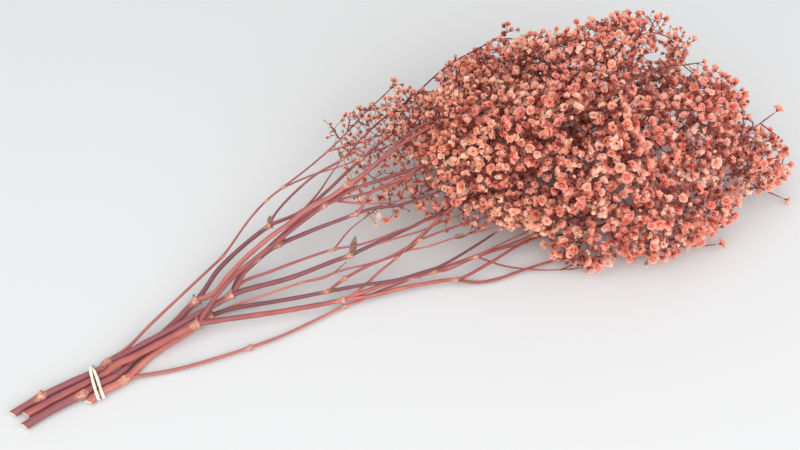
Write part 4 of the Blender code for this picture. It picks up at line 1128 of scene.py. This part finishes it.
def stage_and_light():
    """The table, the soft studio light and the photograph's camera."""
    scene = bpy.context.scene
    mesh = bpy.data.meshes.new("table_top")
    s = TABLE_HALF
    mesh.from_pydata([(-s, -s, 0), (s, -s, 0), (s, s, 0), (-s, s, 0)], [], [(0, 1, 2, 3)])
    mesh.materials.append(table_material())
    table = bpy.data.objects.new("table_top", mesh)
    scene.collection.objects.link(table)
    scene.world = bpy.data.worlds.new("studio")
    scene.world.use_nodes = True
    back = scene.world.node_tree.nodes["Background"]
    back.inputs["Color"].default_value = WORLD_COLOUR
    back.inputs["Strength"].default_value = WORLD_STRENGTH
    for name, place, size, watts, colour in LIGHTS:
        data = bpy.data.lights.new(name, "AREA")
        data.size = size
        data.energy = watts
        data.color = colour
        aimed(name, data, place, LIT_POINT)
    camera = bpy.data.cameras.new("photo_camera")
    camera.lens = 50
    camera.sensor_width = 36
    scene.camera = aimed("photo_camera", camera, CAMERA_PLACE, CAMERA_TARGET)
    scene.view_settings.view_transform = "Standard"


# Building the pieces


def keep(obj, node):
    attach(obj, "root")
    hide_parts(node)


def scales(heap, curve, at, radius, rng):
    """Two sheath scales that stand off a joint."""
    way = unit(curve[min(at + 1, len(curve) - 1)] - curve[max(at - 1, 0)])
    side = unit(np.cross(way, rng.normal(size=3)))
    for sign in (-1, 1):
        out = way * 0.9 + side * sign * 0.45
        foot = curve[at] + side * sign * radius * 0.85 - way * 0.4
        long, wide = 1.4 + radius * rng.uniform(0.3, 0.9), 0.9 + radius * 0.9
        blade(heap, foot, out, side * sign, long, wide, 0.1, (rng.random(), 0.62, 0, 0), 3, 0.0)


def build_branch(heap, stem, route, knots, carries_on, rng):
    """One branch with its joints, rounder and with finer stations than in the model."""
    n, name, parent, r0, r1, points = route
    thick = r0 > THICK_STEM
    curve, share = smooth(points, FINE_STEP)
    if name == "main":
        curve = eased(curve, *EASED_X, EASED_REACH)
    curve, share = stations(curve, share, knots, THICK_STEP if thick else THIN_STEP)
    r = radii_along(curve, share, r0, r1, knots)
    run = lengths(curve)
    if not carries_on:
        r *= 1 - 0.5 * (run / run[-1]) ** 1.6
    near = np.zeros(len(curve))
    for k in knots:
        d = run - np.interp(k, share, run)
        near = np.maximum(near, bell(d, knot_reach(d, r0) * 1.6))
        r *= 1 + 0.07 * bell(d - 0.2, 0.6)
    r *= 1 + 0.025 * np.sin(run / 5.3 + n) + 0.02 * np.sin(run / 2.1 + 2 * n)
    # painted shade: how far a branch lies inside the head, where its bark is painted darker
    inner = np.interp(curve[:, 0], [205, 280], [0.0, 0.9])
    shade = rng.random() + TONES.get((stem, name), 0.0)
    look = np.column_stack([np.full(len(curve), shade), near, 0 * near, inner])
    sides = 16 if r0 > 2.2 else 12 if thick else 8 if r0 > 0.9 else 7
    slant = CUT_SLANT if parent is None else None
    sweep(heap, curve, r, sides, look, rng.random() * 20, 0.03 if thick else 0.0, slant)
    for k in knots:
        at = int(np.argmin(np.abs(share - k)))
        scales(heap, curve, at, r[at], rng)


def build_branches(routes, twigs, stalks, materials, rng):
    """Two pieces a stem: its branches, and its twigs with the finer stalks."""
    for n, name in enumerate(STEM_NAMES):
        heap = Heap()
        for route in routes:
            if route[0] == n:
                knots = KNOTS[name].get(route[1], [])
                build_branch(heap, name, route, knots, carried_on(route, routes), rng)
        keep(heap.make(name + "_branches", materials[n]), name)
        heap = Heap()
        for m, line, radius in twigs:
            if m == n:
                curve = smooth(line, 2.5)[0] if len(line) > 2 else line
                r = np.linspace(min(radius, 0.6), TWIG_END_R, len(curve))
                # the last value is the share of painted shade inside the head
                sweep(heap, curve, r, 6, (rng.random() * 0.6, 0.0, 0, 0.85), rng.random() * 20)
        for m, line, depth in stalks:
            if m == n:
                r = np.linspace(STALK_R if depth < 1 else SIDE_STALK_R, STALK_END_R, len(line))
                # the last value is the share of painted shade inside the head
                sweep(heap, line, r, 3, (rng.random() * 0.8, 0.0, 0, 0.9), rng.random() * 20, close=False)
        keep(heap.make(name + "_twigs", materials[n]), name)


def build_florets(stalks, material, rng):
    """Florets at the ends of the stalks, in pieces along X, darker deep in the head as painted shade and
    paler on its near, upper side as painted light.
    """
    shapes = [floret_shape(whorls, rng) for whorls, count in SHAPES for _ in range(count)] + [bud_shape()]
    for n, name in enumerate(STEM_NAMES):
        mine = sorted((line for m, line, _ in stalks if m == n), key=lambda line: line[-1][0])
        for part, first in enumerate(range(0, len(mine), FLORETS_A_PIECE)):
            chunk = mine[first : first + FLORETS_A_PIECE]
            count = len(chunk)
            places = np.array([line[-1] for line in chunk])
            ways = unit_rows(np.array([line[-1] - line[-2] for line in chunk]))
            ways = unit_rows(ways + rng.normal(size=ways.shape) * FACE_SPREAD + FACE_LIFT)
            deep = depth_in(LOBES, places)
            sizes = floret_scale(places)
            dice = rng.random(count)
            small = (sizes < 0.8) | (deep < 0.6) | (dice > 0.7)
            small_kinds = rng.integers(SMALL_FIRST, HALF_FIRST, count)
            kinds = np.where(small, small_kinds, rng.integers(0, SMALL_FIRST, count))
            kinds[(dice > 0.85) | (deep < 0.55)] = rng.integers(HALF_FIRST, BUD_KIND)
            kinds[dice > np.interp(places[:, 0], STEM_SIDE_X, [0.72, 0.93])] = BUD_KIND
            sizes *= rng.normal(1.0, SIZE_SPREAD, count).clip(0.72, 1.22)
            # painted shade: florets deep inside the head are made darker
            painted_shade_deep = np.interp(deep, [0.4, 0.94], [0.85, 0.0])
            # painted light: florets on the near, upper side of the head are made paler, where the lamps fall
            painted_light_near_side = np.interp(places[:, 1] - 0.5 * places[:, 2], [-20, 60], [0.08, -0.06])
            shades = SHADE_MIDDLE - painted_shade_deep + painted_light_near_side + 0.24 * clumps(places, 8, 28, 60)
            shades = (shades + SHADE_SPREAD * rng.normal(size=count)).clip(0, 1)
            warm = np.interp(places[:, 0] - 0.6 * places[:, 1], [220, 400], [0.75, 0.15])
            hues = (warm + 0.35 * clumps(places, 9, 40, 90) + 0.12 * rng.normal(size=count)).clip(0, 1)
            heap = Heap()
            place_florets(heap, shapes, kinds, places, ways, sizes, shades, hues, rng)
            keep(heap.make(f"{name}_florets_{part + 1}", material), name)


def build_leaves(routes, material, rng):
    """The small leaves, each from the nearest point of its stem."""
    for n, name in enumerate(STEM_NAMES):
        heap = Heap()
        lines = [smooth(route[5], 1)[0] for route in routes if route[0] == n]
        for m, base, out, long, wide in BRACTS:
            if m == n:
                line = min(lines, key=lambda curve: nearest(curve, base)[1])
                start = line[nearest(line, base)[0]]
                look = (0.5, rng.random() * 0.5, 0, 1)
                long, wide = long * LEAF_LONGER, wide * LEAF_WIDER
                blade(heap, start, np.array(out), (0, 0, 1), long, wide, 0.22, look, 8, 0.06)
        if heap.count:
            keep(heap.make(name + "_leaves", material), name)


def build_band():
    """The model's band with rounded edges and a slightly uneven width."""
    corners = band_corners()
    count, sides = len(corners), 10
    fine = np.arange(2 * count) / 2
    low = fine.astype(int)
    part = (fine - low)[:, None, None]
    a, b, c, d = (corners[(low + k) % count] for k in (-1, 0, 1, 2))
    ring = b + 0.5 * part * (c - a + part * (2 * a - 5 * b + 4 * c - d + part * (3 * (b - c) + d - a)))
    middle = ring.mean(axis=1)
    across, up = (ring[:, 0] - ring[:, 1]) / 2, (ring[:, 0] - ring[:, 3]) / 2
    turn = np.arange(sides) * math.tau / sides
    wide = np.sign(np.cos(turn)) * np.abs(np.cos(turn)) ** 0.6
    high = np.sign(np.sin(turn)) * np.abs(np.sin(turn)) ** 0.75
    uneven = 1 + 0.04 * np.sin(fine / 3.1) + 0.03 * np.sin(fine / 1.3)
    verts = middle[:, None] + across[:, None] * (wide * uneven[:, None])[:, :, None]
    verts = (verts + up[:, None] * high[None, :, None]).reshape(-1, 3)
    heap = Heap()
    heap.add(verts, outward(verts, ring_quads(len(ring), sides, closed=True)), [], (0, 0, 0, 1))
    keep(heap.make("rubber_band_strip", band_material()), "rubber_band")


def outward(verts, quads):
    """Turns the faces round when the closed mesh they make is inside out."""
    a, b, c, d = (verts[quads[:, k]] for k in range(4))
    volume = np.einsum("ij,ij->", a, np.cross(b, c)) + np.einsum("ij,ij->", a, np.cross(c, d))
    return quads if volume > 0 else quads[:, ::-1]


# Bark colours of each stem: in its darkest, middle and palest streaks
REDS = [
    ((0.17, 0.055, 0.068), (0.37, 0.096, 0.086), (0.54, 0.17, 0.128)),
    ((0.19, 0.052, 0.058), (0.42, 0.1, 0.082), (0.59, 0.18, 0.128)),
    ((0.17, 0.052, 0.068), (0.37, 0.098, 0.088), (0.54, 0.17, 0.132)),
    ((0.18, 0.055, 0.068), (0.41, 0.102, 0.086), (0.58, 0.18, 0.132)),
]
# The model's growth and the finer growth each have their own random draws
GROWTH_SEED = 11
FINE_SEED = 29


def main():
    routes = part_routes()
    twigs = grow(routes, np.random.default_rng(GROWTH_SEED))
    rng = np.random.default_rng(FINE_SEED)
    stalks = fine_twigs(routes, twigs, rng)
    materials = [stem_material(f"dyed_{name}", *reds) for name, reds in zip(STEM_NAMES, REDS)]
    build_branches(routes, twigs, stalks, materials, rng)
    build_florets(stalks, petal_material(), rng)
    build_leaves(routes, leaf_material(), rng)
    build_band()


main()
stage_and_light()
